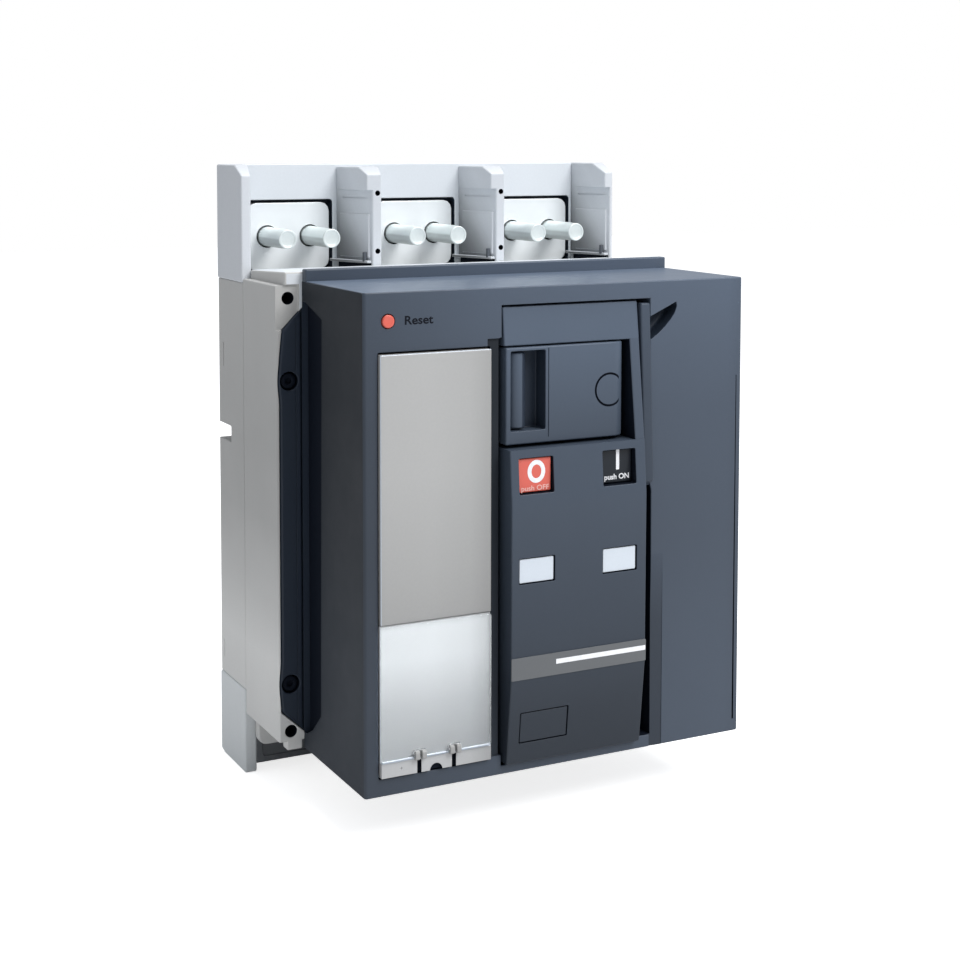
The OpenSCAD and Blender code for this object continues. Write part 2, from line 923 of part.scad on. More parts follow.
module handle_pin() {
    h0 = panel_h1 - pin_hold + 0.1;
    color([0.60, 0.62, 0.64])
    translate([pivot_x, -pivot_d, z_foot + h0])
        cylinder(h = hood_h0 + pin_hold - 0.1 - h0, r = pin_d / 2);
}

module push_button(x, sink) {
    front = front_d + drive_bulge - sink;
    block(x - button_w / 2, x + button_w / 2, front - button_len, front,
        button_top - button_h, button_top);
}

module off_button() {
    color([0.86, 0.26, 0.22])
    push_button(off_x, off_sink);
}

module on_button() {
    color([0.06, 0.07, 0.08])
    push_button(on_x, on_sink);
}

// ---- Parts ---------------------------------------------------------------

rear_base();
mid_case();
upper_back_wall();
upper_left_wall();
upper_right_wall();
upper_left_barrier();
upper_right_barrier();
lower_back_wall();
lower_left_wall();
lower_right_wall();
lower_left_barrier();
lower_right_barrier();
upper_left_pad();
upper_centre_pad();
upper_right_pad();
lower_left_pad();
lower_centre_pad();
lower_right_pad();
upper_studs();
lower_studs();
bay_screws();
lower_shield();
side_flange();
flange_screws();
front_cover();
top_band();
cover_bar();
reset_button();
trip_unit_base();
trip_unit_plate();
trip_unit_strip();
sealing_lugs();
clear_cover();
drive_frame();
drive_fascia();
charging_handle();
handle_pin();
off_button();
on_button();
left_window();
right_window();
label_band();
lock_plate();
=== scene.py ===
"""Molded case circuit breaker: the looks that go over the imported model."""

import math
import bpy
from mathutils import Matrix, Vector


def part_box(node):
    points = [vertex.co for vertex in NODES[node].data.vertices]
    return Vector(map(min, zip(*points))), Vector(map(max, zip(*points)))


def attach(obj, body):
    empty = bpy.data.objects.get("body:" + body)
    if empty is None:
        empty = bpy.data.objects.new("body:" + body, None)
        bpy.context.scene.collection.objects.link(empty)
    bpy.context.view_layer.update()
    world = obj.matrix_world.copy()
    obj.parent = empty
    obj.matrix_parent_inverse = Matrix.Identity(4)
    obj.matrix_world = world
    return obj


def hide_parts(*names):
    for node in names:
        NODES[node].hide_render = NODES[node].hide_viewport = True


bl_info = {
    "name": "Molded case circuit breaker",
    "version": (1, 0, 0),
    "blender": (4, 5, 0),
    "location": "View3D > Sidebar > Breaker",
    "description": "Builds the detailed pieces and finishes of a three-pole circuit breaker",
    "category": "Object",
}

import bmesh
import bpy
from bpy.props import FloatProperty, FloatVectorProperty, PointerProperty
from mathutils import Matrix, Vector

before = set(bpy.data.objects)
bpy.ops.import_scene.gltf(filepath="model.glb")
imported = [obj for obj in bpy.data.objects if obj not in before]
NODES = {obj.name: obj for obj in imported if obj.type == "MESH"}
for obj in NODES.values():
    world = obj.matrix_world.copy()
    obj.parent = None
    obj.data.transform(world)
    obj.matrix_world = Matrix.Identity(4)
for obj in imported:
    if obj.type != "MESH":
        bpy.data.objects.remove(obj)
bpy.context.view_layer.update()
MM = 0.001
ROOT = "breaker"
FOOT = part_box("lower_left_wall")[0][2] / MM


SHARP, CREASE = 28, 42          # angles, in degrees, of an edge to round and of one that stays sharp
LEAST_ROUND = 0.04              # mm; an edge with less room isn't rounded
WELD = 1e-6                     # m; points nearer than this become one


# ---- Places, in mm: x from the centre line, d forward from the rear face, h over the foot ----

def at(x, d, h):
    return Vector((x * MM, -d * MM, (h + FOOT) * MM))


def span(node):
    """(x0, x1, d0, d1, h0, h1) of a CAD node."""
    lo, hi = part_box(node)
    return (lo[0] / MM, hi[0] / MM, -hi[1] / MM, -lo[1] / MM,
            lo[2] / MM - FOOT, hi[2] / MM - FOOT)


# A flat outline's two coordinates are (d, h) across x, (x, h) across d and (x, d) across h
PLACES = {
    "x": lambda u, v, w: at(w, u, v),
    "d": lambda u, v, w: at(u, w, v),
    "h": lambda u, v, w: at(u, v, w),
}


# ---- Outlines: each is a function of how far it grows ------------------------------

def circle(a, b, r, count=32, start=0.0, turn=360.0):
    steps = count if turn >= 360 else count - 1
    return [(a + r * math.cos(math.radians(start + turn * i / steps)),
             b + r * math.sin(math.radians(start + turn * i / steps))) for i in range(count)]


def disc(a, b, r, count=32):
    return lambda grow: circle(a, b, max(r + grow, 0.02), count)


def rect(a0, a1, b0, b1, r=0.6, count=5):
    """A rectangle with round corners."""
    def outline(grow):
        bend = max(r + grow, 0.04)
        left, right, low, high = a0 - grow + bend, a1 + grow - bend, b0 - grow + bend, b1 + grow - bend
        corners = ((right, high, 0), (left, high, 90), (left, low, 180), (right, low, 270))
        return [p for a, b, s in corners for p in circle(a, b, bend, count, s, 90)]
    return outline


def front_of(node, gap=0.0, r=0.6, count=5):
    """Outline of a CAD node's front, a gap larger all round."""
    x0, x1, d0, d1, h0, h1 = span(node)
    return rect(x0 - gap, x1 + gap, h0 - gap, h1 + gap, r, count)


def nose(a0, a1, b0, b1, r, count=7):
    """A rectangle with two round corners at its far side."""
    def outline(grow):
        return ([(a0 - grow, b0), (a1 + grow, b0)]
                + circle(a1 - r, b1 - r, r + grow, count, 0, 90)
                + circle(a0 + r, b1 - r, r + grow, count, 90, 90))
    return outline


def poly(points):
    """A polygon that grows square to its sides."""
    area = sum(p[0] * q[1] - q[0] * p[1] for p, q in zip(points, points[1:] + points[:1]))
    turn = 1 if area > 0 else -1

    def outline(grow):
        grown = []
        for i, p in enumerate(points):
            before, after = Vector(points[i - 1]), Vector(points[(i + 1) % len(points)])
            a, b = (Vector(p) - before).normalized(), (after - Vector(p)).normalized()
            a, b = Vector((a.y, -a.x)) * turn, Vector((b.y, -b.x)) * turn
            shift = (a + b) * (grow / (1 + a.dot(b)))
            grown.append((p[0] + shift.x, p[1] + shift.y))
        return grown
    return outline


def along(points):
    """A depth that follows (h, d) points, for outlines across d."""
    def depth(x, h):
        for (h0, d0), (h1, d1) in zip(points, points[1:]):
            if h <= h1:
                break
        return d0 + (d1 - d0) * (h - h0) / (h1 - h0)
    return depth


# ---- Solids ---------------------------------------------------------------------

def placed(name, data):
    """A new object in the scene."""
    obj = bpy.data.objects.new(name, data)
    bpy.context.scene.collection.objects.link(obj)
    return obj


def mesh_object(name, bm):
    bmesh.ops.recalc_face_normals(bm, faces=bm.faces)
    mesh = bpy.data.meshes.new(name)
    bm.to_mesh(mesh)
    bm.free()
    return placed(name, mesh)


def drop(obj):
    data = obj.data
    bpy.data.objects.remove(obj, do_unlink=True)
    if isinstance(data, bpy.types.Mesh) and data.users == 0:
        bpy.data.meshes.remove(data)


def moved(w, shift):
    """A place along the axis, or a function that gives it, moved by shift."""
    return (lambda u, v: w(u, v) + shift) if callable(w) else w + shift


def loft(axis, rings):
    """A closed solid through rings of (outline, place along the axis)."""
    spot = PLACES[axis]
    bm = bmesh.new()
    loops = [[bm.verts.new(spot(u, v, w(u, v) if callable(w) else w)) for u, v in outline]
             for outline, w in rings]
    bm.faces.new(loops[0])
    bm.faces.new(loops[-1][::-1])
    for low, high in zip(loops, loops[1:]):
        for i in range(len(low)):
            bm.faces.new((low[i - 1], low[i], high[i], high[i - 1]))
    return mesh_object("loft", bm)


def prism(axis, points, lo, hi):
    """A plain solid with the same outline all the way."""
    return loft(axis, [(points, lo), (points, hi)])


def rim(edge, steps=3):
    """(grow, sink) of a rounded rim, from the side of a plate to its face."""
    if not edge:
        return [(0, 0)]
    turns = [math.pi / 2 * i / steps for i in range(steps + 1)]
    return [(-edge * (1 - math.cos(a)), edge * (1 - math.sin(a))) for a in turns]


def slab(axis, shape, lo, hi, edge=0.5, both=True):
    """A plate from lo to hi with rounded rims; hi and lo may follow a surface."""
    side = 1 if callable(hi) or callable(lo) or hi > lo else -1
    rings = [(shape(g), moved(lo, side * s)) for g, s in reversed(rim(edge if both else 0))]
    rings += [(shape(g), moved(hi, -side * s)) for g, s in rim(edge)]
    return loft(axis, rings)


def box(x0, x1, d0, d1, h0, h1, edge=0.6):
    return slab("d", rect(x0, x1, h0, h1, edge), d0, d1, edge)


def block(x0, x1, d0, d1, h0, h1):
    return prism("d", [(x0, h0), (x1, h0), (x1, h1), (x0, h1)], d0, d1)


def pocket(axis, shape, face, depth, lip=0.4, foot=0.3, side=1, out=3):
    """Cutter for a moulded pocket with a rounded rim and a filleted floor."""
    rings = [(shape(g), moved(face, side * (s - depth))) for g, s in reversed(rim(foot))]
    rings += [(shape(-g), moved(face, -side * (s - 0.004))) for g, s in rim(lip)]
    rings.append((shape(lip), moved(face, side * out)))
    return loft(axis, rings)


def turned(profile, x, h, count=40):
    """A turned solid along d, from a profile of (radius, d) points that starts and ends on its axis."""
    bm = bmesh.new()
    rings = []
    for r, d in profile:
        ring = [at(x, d, h)] if r == 0 else [at(a, d, b) for a, b in circle(x, h, r, count)]
        rings.append([bm.verts.new(p) for p in ring])
    for low, high in zip(rings, rings[1:]):
        for i in range(count):
            j = (i + 1) % count
            corners = [low[i % len(low)], low[j % len(low)], high[j % len(high)], high[i % len(high)]]
            unique = list(dict.fromkeys(corners))
            if len(unique) > 2:
                bm.faces.new(unique)
    return mesh_object("turned", bm)


def copy_of(node):
    """A merged copy of a CAD node, with its flat faces whole again."""
    bm = bmesh.new()
    bm.from_mesh(NODES[node].data)
    bmesh.ops.remove_doubles(bm, verts=bm.verts, dist=WELD)
    bmesh.ops.dissolve_limit(bm, angle_limit=math.radians(0.5), verts=bm.verts, edges=bm.edges)
    return mesh_object(node, bm)


def baked(obj):
    """Applies every modifier of obj."""
    graph = bpy.context.evaluated_depsgraph_get()
    graph.update()
    mesh = bpy.data.meshes.new_from_object(obj.evaluated_get(graph))
    old = obj.data
    obj.modifiers.clear()
    obj.data = mesh
    bpy.data.meshes.remove(old)
    return obj


def combine(obj, others, operation):
    for other in others:
        step = obj.modifiers.new("step", "BOOLEAN")
        step.operation, step.solver, step.object = operation, "EXACT", other
        baked(obj)
        drop(other)
    return obj


def cut(obj, *others):
    return combine(obj, others, "DIFFERENCE")


def join(obj, *others):
    return combine(obj, others, "UNION")


def gather(obj, *others):
    """Adds the others' meshes to obj as they are."""
    bm = bmesh.new()
    bm.from_mesh(obj.data)
    for other in others:
        bm.from_mesh(other.data)
        drop(other)
    bm.to_mesh(obj.data)
    bm.free()
    return obj


def room_round(bm, width, angle):
    """The rounding that each sharp edge has room for, in metres."""
    sharp = {e for e in bm.edges if len(e.link_faces) == 2 and e.calc_face_angle(0) > angle}
    limits = {}
    for e in sharp:
        room = width
        for loop in e.link_loops:
            a, b = loop.vert.co, loop.link_loop_next.vert.co
            way = (b - a).normalized()
            inward = loop.face.normal.cross(way)
            for near in (loop.link_loop_prev, loop.link_loop_next):
                other = near.edge.verts[1].co - near.edge.verts[0].co
                turn = other.normalized().cross(way).length
                if turn > 0.35 and near.edge in sharp:
                    room = min(room, other.length * turn / 2.1)
            for t in (0.08, 0.5, 0.92):
                start = a.lerp(b, t)
                for other in loop.face.edges:
                    if other is e or other not in sharp:
                        continue
                    p, q = other.verts[0].co - start, other.verts[1].co - start
                    u0, u1 = p.dot(way), q.dot(way)
                    if (u0 > 0) != (u1 > 0):
                        v0, v1 = p.dot(inward), q.dot(inward)
                        hit = v0 - u0 * (v1 - v0) / (u1 - u0)
                        if hit > 1e-6:
                            room = min(room, hit / 2.1)
        limits[e] = room
    return limits


def soften(obj, width):
    """Rounds the sharp edges of a simple solid as far as each has room."""
    bm = bmesh.new()
    bm.from_mesh(obj.data)
    weight = bm.edges.layers.float.new("bevel_weight_edge")
    for e, room in room_round(bm, width * MM, math.radians(SHARP)).items():
        e[weight] = room / (width * MM) if room > LEAST_ROUND * MM else 0.0
    bm.to_mesh(obj.data)
    bm.free()
    bevel = obj.modifiers.new("edges", "BEVEL")
    bevel.width = width * MM
    bevel.segments = 3
    bevel.limit_method = "WEIGHT"
    bevel.use_clamp_overlap = False
    bevel.miter_outer = "MITER_ARC"
    return baked(obj)


def finish(obj, name, finish_name, body=ROOT, nodes=()):
    """Names a piece, shades it, gives it its finish and hangs it on its body."""
    obj.name = name
    obj.data.name = name
    bm = bmesh.new()
    bm.from_mesh(obj.data)
    bmesh.ops.remove_doubles(bm, verts=bm.verts, dist=WELD)
    bmesh.ops.dissolve_degenerate(bm, edges=bm.edges, dist=WELD)
    bm.to_mesh(obj.data)
    bm.free()
    for face in obj.data.polygons:
        face.use_smooth = True
    obj.data.set_sharp_from_angle(angle=math.radians(CREASE))
    weighted = obj.modifiers.new("normals", "WEIGHTED_NORMAL")
    weighted.keep_sharp = True
    baked(obj)
    obj.data.materials.clear()
    obj.data.materials.append(FINISHES[finish_name])
    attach(obj, body)
    if nodes:
        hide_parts(*nodes)
    return obj


def stand_in(obj, node, finish_name, body=ROOT, kind="shell"):
    """Finishes a piece that is shown in place of a CAD node."""
    return finish(obj, f"{node}_{kind}", finish_name, body, [node])


def patch(obj, finish_name, test):
    """Gives another finish to the faces whose (x, d, h) centre and normal pass the test."""
    obj.data.materials.append(FINISHES[finish_name])
    index = len(obj.data.materials) - 1
    for face in obj.data.polygons:
        c = face.center / MM
        if test(c.x, -c.y, c.z - FOOT, face.normal):
            face.material_index = index
    return obj


# ---- Geometry Nodes: one piece repeated along two lines ------------------------

def repeat_tree():
    """Repeats a piece along line A, and each of those along line B."""
    tree = bpy.data.node_groups.new("repeat_on_lines", "GeometryNodeTree")
    for name, side, kind in (("Geometry", "INPUT", "Geometry"), ("Piece", "INPUT", "Object"),
                             ("Finish", "INPUT", "Material"), ("Start", "INPUT", "Vector"),
                             ("Count A", "INPUT", "Int"), ("Step A", "INPUT", "Vector"),
                             ("Count B", "INPUT", "Int"), ("Step B", "INPUT", "Vector"),
                             ("Geometry", "OUTPUT", "Geometry")):
        tree.interface.new_socket(name, in_out=side, socket_type="NodeSocket" + kind)
    given = tree.nodes.new("NodeGroupInput").outputs

    def add(kind, **sources):
        """A node with its inputs wired, and its outputs."""
        node = tree.nodes.new(kind)
        for name, source in sources.items():
            tree.links.new(source, node.inputs[name.replace("_", " ")])
        return node.outputs

    def line(way):
        return add("GeometryNodeMeshLine", Count=given["Count " + way], Offset=given["Step " + way])["Mesh"]

    rows, columns = line("A"), line("B")
    tree.links.new(given["Start"], rows.node.inputs["Start Location"])
    grid = add("GeometryNodeInstanceOnPoints", Points=rows, Instance=columns)
    points = add("GeometryNodeRealizeInstances", Geometry=grid["Instances"])
    piece = add("GeometryNodeObjectInfo", Object=given["Piece"])
    copies = add("GeometryNodeInstanceOnPoints", Points=points["Geometry"], Instance=piece["Geometry"])
    real = add("GeometryNodeRealizeInstances", Geometry=copies["Instances"])
    painted = add("GeometryNodeSetMaterial", Geometry=real["Geometry"], Material=given["Finish"])
    add("NodeGroupOutput", Geometry=painted["Geometry"])
    return tree


def repeated(piece, finish_name, start, count_a, step_a, count_b=1, step_b=(0, 0, 0)):
    """The piece, drawn at x 0, d 0, h 0, repeated from start; steps are (x, d, h) in mm."""
    def vector(step):
        return (step[0] * MM, -step[1] * MM, step[2] * MM)
    tree = bpy.data.node_groups.get("repeat_on_lines") or repeat_tree()
    obj = placed("repeated", bpy.data.meshes.new("repeated"))
    piece.data.transform(Matrix.Translation(-at(0, 0, 0)))
    lines = obj.modifiers.new("lines", "NODES")
    lines.node_group = tree
    values = {"Piece": piece, "Finish": FINISHES[finish_name], "Start": tuple(at(*start)),
              "Count A": count_a, "Step A": vector(step_a),
              "Count B": count_b, "Step B": vector(step_b)}
    for item in tree.interface.items_tree:
        if item.in_out == "INPUT" and item.name in values:
            lines[item.identifier] = values[item.name]
    baked(obj)
    drop(piece)
    return obj


# ---- Sizes that several pieces share, in mm -----------------------------------------

SIDES = ("left", "centre", "right")
POLE, STUD_X = 70, 11.5         # between poles, and from a pad's middle to its studs
FIX_X, FIX_LOW, FIX_HIGH, FIX_R = 98.5, 35, 239, 3
SCREW_X, SCREW_HS = -98.5, (57.5, 200.5)
TRIP_X0, TRIP_X1 = span("trip_unit_plate")[:2]
LUG_XS = (TRIP_X0 + (TRIP_X1 - TRIP_X0) * 0.35, TRIP_X0 + (TRIP_X1 - TRIP_X0) * 0.66)
TRIP_LEFT = TRIP_X0 + 0.9


def eased(points, reach=3.0, steps=4):
    """The points with each bend turned into a short curve."""
    out = [points[0]]
    for before, bend, after in zip(points, points[1:], points[2:]):
        a, b, c = Vector(before), Vector(bend), Vector(after)
        start, end = b + (a - b).normalized() * reach, b + (c - b).normalized() * reach
        for i in range(steps + 1):
            t = i / steps
            out.append(tuple(start.lerp(b, t).lerp(b.lerp(end, t), t)))
    return out + [points[-1]]


def strip_outline(gap):
    """Outline of the dark side strip, a gap larger all round, with a swelling beside each screw."""
    x0, x1, d0, d1, h0, h1 = span("side_flange")
    left, reach = x0 + 1.2, 13
    side = [(left, h0 + 9.7)]
    for z in SCREW_HS:
        side += [(left - 0.45 * (1 + math.cos(math.pi * i / 6)), z + reach * i / 6) for i in range(-5, 6)]
    side += [(left + 1.2, h1 - 9.7)]
    outline = poly([(x1, h1), (x1, h0)] + side)
    return lambda grow: outline(grow + gap)


COVER_FRONT = span("front_cover")[3]
DRIVE_FOOT, DRIVE_TOP = span("drive_fascia")[4:]
PANEL_TOP = span("charging_handle")[4] - 1.6
# The drive's front, as (height, depth) from its foot to the hood's top
FASCIA = eased([(DRIVE_FOOT, COVER_FRONT + 3.3), (DRIVE_FOOT + 39.8, COVER_FRONT + 7.8),
                (PANEL_TOP - 24, COVER_FRONT + 8.2), (PANEL_TOP, COVER_FRONT + 6.3),
                (DRIVE_TOP, COVER_FRONT - 1.5)])
FASCIA_DEPTH = along(FASCIA)


# ---- Finishes -------------------------------------------------------------------

FINISHES = {}


def linear(color):
    return tuple(c / 12.92 if c <= 0.04045 else ((c + 0.055) / 1.055) ** 2.4 for c in color[:3])


def shade(color, factor):
    return tuple(min(1.0, c * factor) for c in linear(color)) + (1.0,)


def grey(value):
    return (value, value, value, 1)


def fresh_tree(owner):
    """The empty node tree of a material or world."""
    owner.use_nodes = True
    owner.node_tree.nodes.clear()
    return owner.node_tree


def shader_node(tree, kind, inputs=()):
    """A node whose inputs, by name or number, are set to constants or wired to other nodes' outputs."""
    node = tree.nodes.new("ShaderNode" + kind)
    for key, value in dict(inputs).items():
        if isinstance(value, bpy.types.NodeSocket):
            tree.links.new(value, node.inputs[key])
        else:
            node.inputs[key].default_value = value
    return node


def switched(tree, ray, usual, on_ray):
    """Shader output that changes on one kind of ray."""
    path = shader_node(tree, "LightPath").outputs[ray]
    return shader_node(tree, "MixShader", {0: path, 1: usual.outputs[0], 2: on_ray.outputs[0]}).outputs[0]


class Recipe:
    """A material's nodes, wired from Object coordinates in metres."""

    def __init__(self, name):
        FINISHES[name] = bpy.data.materials.new(name)
        self.tree = fresh_tree(FINISHES[name])
        self.coords = self.node("TexCoord").outputs["Object"]

    def node(self, kind, **inputs):
        return shader_node(self.tree, kind, {key.replace("_", " "): value for key, value in inputs.items()})

    def stretch(self, scale):
        """Object coordinates scaled by (x, y, z)."""
        return self.node("Mapping", Vector=self.coords, Scale=scale).outputs["Vector"]

    def noise(self, scale, detail=2.0, rough=0.5, vector=None):
        return self.node("TexNoise", Vector=vector or self.coords, Scale=scale, Detail=detail,
                         Roughness=rough).outputs["Fac"]

    def ramp(self, fac, stops):
        """A colour ramp from (position, colour) stops."""
        node = self.node("ValToRGB", Fac=fac)
        elements = node.color_ramp.elements
        for element, stop in ((elements[0], stops[0]), (elements[1], stops[-1])):
            element.position, element.color = stop
        for position, color in stops[1:-1]:
            elements.new(position).color = color
        return node.outputs["Color"]

    def soft(self, fac, low, high):
        """A colour ramp over the middle of a noise."""
        return self.ramp(fac, ((0.3, low), (0.7, high)))

    def between(self, fac, low, high, start=0.3, end=0.7):
        node = self.node("MapRange", Value=fac, From_Min=start, From_Max=end, To_Min=low, To_Max=high)
        return node.outputs["Result"]

    def times(self, a, b):
        """Two colours multiplied."""
        node = self.node("Mix")
        node.data_type, node.blend_type = "RGBA", "MULTIPLY"
        node.inputs[0].default_value = 1.0
        self.tree.links.new(a, node.inputs[6])
        self.tree.links.new(b, node.inputs[7])
        return node.outputs[2]

    def bump(self, *layers):
        """Bump from (height socket, depth in mm) layers."""
        below = {}
        for height, depth in layers:
            node = self.node("Bump", Strength=1.0, Distance=depth * MM, Height=height, **below)
            below["Normal"] = node.outputs["Normal"]
        return below["Normal"]

    def faded(self, color, fades):
        """The colour, darkened along each fade of painted light and shade."""
        for way, stops in fades:
            low, high, most = stops[0][0], stops[-1][0], max(factor for place, factor in stops)
            dot = self.node("VectorMath")
            dot.operation = "DOT_PRODUCT"
            self.tree.links.new(self.coords, dot.inputs[0])
            dot.inputs[1].default_value = way
            place = self.between(dot.outputs["Value"], 0, 1, low * MM, high * MM)
            greys = [((p - low) / (high - low), grey(f / most)) for p, f in stops]
            color = self.times(color, self.ramp(place, greys))
        return color

    def surface(self, **inputs):
        self.node("OutputMaterial", Surface=self.node("BsdfPrincipled", **inputs).outputs[0])


def moulded(name, color, rough=0.42, grain=1.0, tint=0.03, specular=0.5, fades=()):
    """Moulded plastic: a fine satin grain, faint flow marks and uneven gloss.

    Each fade is painted light and shade: a direction and the factors of brightness met along it, at places in
    mm."""
    r = Recipe(name)
    whole = math.prod(max(factor for place, factor in stops) for way, stops in fades)
    flow = r.soft(r.noise(14, 4, 0.55, r.stretch((1.0, 1.0, 0.35))),
                  shade(color, whole * (1 - tint)), shade(color, whole * (1 + tint)))
    speck = r.soft(r.noise(900, 2, 0.6), grey(0.97), grey(1))
    r.surface(Base_Color=r.faded(r.times(flow, speck), fades), Specular_IOR_Level=specular,
              Roughness=r.between(r.noise(38, 3, 0.6), rough - 0.04, rough + 0.05),
              Normal=r.bump((r.noise(1500, 2, 0.6), 0.006 * grain), (r.noise(240, 2, 0.5), 0.008 * grain)))


def plated(name, color, rough, fine_bump=0.004, axis=(1, 1, 1), metal=1.0, mottle=0.1, fades=()):
    """Plated metal: crystalline mottle, drawn lines and softer patches."""
    r = Recipe(name)
    cloud = r.noise(120, 4, 0.6)
    fine = r.noise(700, 3, 0.65, r.stretch(axis))
    base = r.soft(cloud, shade(color, 1 - mottle), shade(color, 1 + mottle / 3))
    r.surface(Base_Color=r.faded(base, fades), Metallic=metal,
              Roughness=r.between(fine, rough - 0.06, rough + 0.1),
              Normal=r.bump((fine, fine_bump), (cloud, 0.04 * mottle)))


def printed(name, color, rough=0.5):
    """Printed ink: a slightly uneven coat."""
    r = Recipe(name)
    coat = r.noise(420, 3, 0.6)
    r.surface(Base_Color=r.soft(coat, shade(color, 0.9), shade(color, 1.03)), Specular_IOR_Level=0.15,
              Roughness=r.between(coat, rough - 0.06, rough + 0.06), Normal=r.bump((coat, 0.006)))


def clear(name, color, rough=0.06):
    """Clear moulded plastic with faint flow lines and light haze; it casts no shadow."""
    r = Recipe(name)
    haze = r.noise(26, 3, 0.5)
    tint = r.ramp(haze, ((0.2, shade(color, 0.97)), (0.8, shade(color, 1.0))))
    plastic = r.node("BsdfPrincipled", Base_Color=tint,
                     Roughness=r.between(haze, rough, rough + 0.05), Transmission_Weight=1.0, IOR=1.2,
                     Normal=r.bump((r.noise(60, 2, 0.5), 0.004)))
    r.node("OutputMaterial", Surface=switched(r.tree, "Is Shadow Ray", plastic, r.node("BsdfTransparent")))


# ---- Settings -------------------------------------------------------------------

def color_property(name, description, default):
    return FloatVectorProperty(name=name, description=description, subtype="COLOR_GAMMA", size=3,
                               min=0.0, max=1.0, default=tuple(c / 255 for c in default))


def length_property(name, description, default, low=0.05, high=20.0):
    return FloatProperty(name=name, description=description + ", in millimetres",
                         default=default, min=low, max=high)


class BreakerColors(bpy.types.PropertyGroup):
    case: color_property("Case", "Light grey of the case", (196, 196, 194))
    foot: color_property("Foot", "Grey of the lower terminal walls", (219, 223, 224))
    terminal: color_property("Terminal walls", "Pale grey of the terminal walls", (205, 209, 214))
    back_wall: color_property("Back wall", "Very pale grey behind the pads", (215, 220, 225))
    cover: color_property("Cover", "Dark blue grey of the front cover", (70, 80, 94))
    # Painted shade: a darker copy of the cover's colour for its left face
    cover_shaded_side: color_property("Cover side", "Duller left face of the cover", (43, 48, 55))
    # Painted shade: near black put into recesses, holes, slots and gaps
    recess: color_property("Recess", "Near black of recesses and seams", (21, 26, 36))
    strip: color_property("Side strip", "Dark strip beside the cover", (41, 50, 63))
    drive: color_property("Drive", "Dark blue grey of the drive", (77, 88, 103))
    plate: color_property("Trip unit plate", "Mid grey of the trip unit", (184, 184, 183))
    pale: color_property("Trip unit base", "Pale grey of the trip unit's base", (216, 217, 218))
    off: color_property("OFF", "Red of the OFF and reset buttons", (216, 98, 84))
    on: color_property("ON", "Black of the ON button", (28, 33, 40))
    window: color_property("Flags", "White of the flag windows", (205, 213, 222))
    band: color_property("Band", "Grey of the label band", (95, 98, 101))
    metal: color_property("Studs", "Zinc of the studs", (238, 246, 245))
    steel: color_property("Bay screws", "Dark steel of the screws in the bays", (92, 97, 104))
    silver: color_property("Pads", "Silver of the terminal pads", (240, 244, 246))
    ink_dark: color_property("Dark ink", "Ink of the reset legend", (9, 13, 24))
    ink_pink: color_property("Pink ink", "Washed-out ink on the red button", (238, 186, 178))
    ink_white: color_property("White ink", "Ink of the button legends", (240, 241, 244))


class BreakerSizes(bpy.types.PropertyGroup):
    case_edge: length_property("Case edge", "Edge radius of the light case mouldings", 0.9)
    cover_edge: length_property("Cover edge", "Edge radius of the front cover", 0.7)
    grain: FloatProperty(name="Grain", description="Strength of the moulded grain",
                         default=1.0, min=0.0, max=4.0)


def colors():
    return bpy.context.scene.breaker_colors


def sizes():
    return bpy.context.scene.breaker_sizes


# ---- Operators ------------------------------------------------------------------

class Piece:
    """What every operator shares."""
    bl_options = {"REGISTER", "UNDO"}

    def execute(self, context):
        self.build()
        return {"FINISHED"}


def back_wall(row, finish_name, slot):
    """A terminal block's back wall, with a seat for each pad."""
    node = row + "_back_wall"
    x0, x1, d0, d1, h0, h1 = span(node)
    wall = box(x0, x1, d0, d1, h0, h1, sizes().case_edge * 0.6)
    cut(wall, *[pocket("d", front_of(f"{row}_{side}_pad", 1.5, 1.8), d1, d1 - 2, 0.5, 0.2) for side in SIDES])
    return stand_in(wall, node, finish_name)


def side_plan(node, sign):
    """Outer and inner x of a side wall, and its plan of (x, d) points."""
    x0, x1, d0, d1, h0, h1 = span(node)
    out, inner = (x0, x1) if sign < 0 else (x1, x0)
    return out, inner, [(out, d0), (inner, d0), (inner, 10), (inner + sign * 5, d1), (out, d1)]


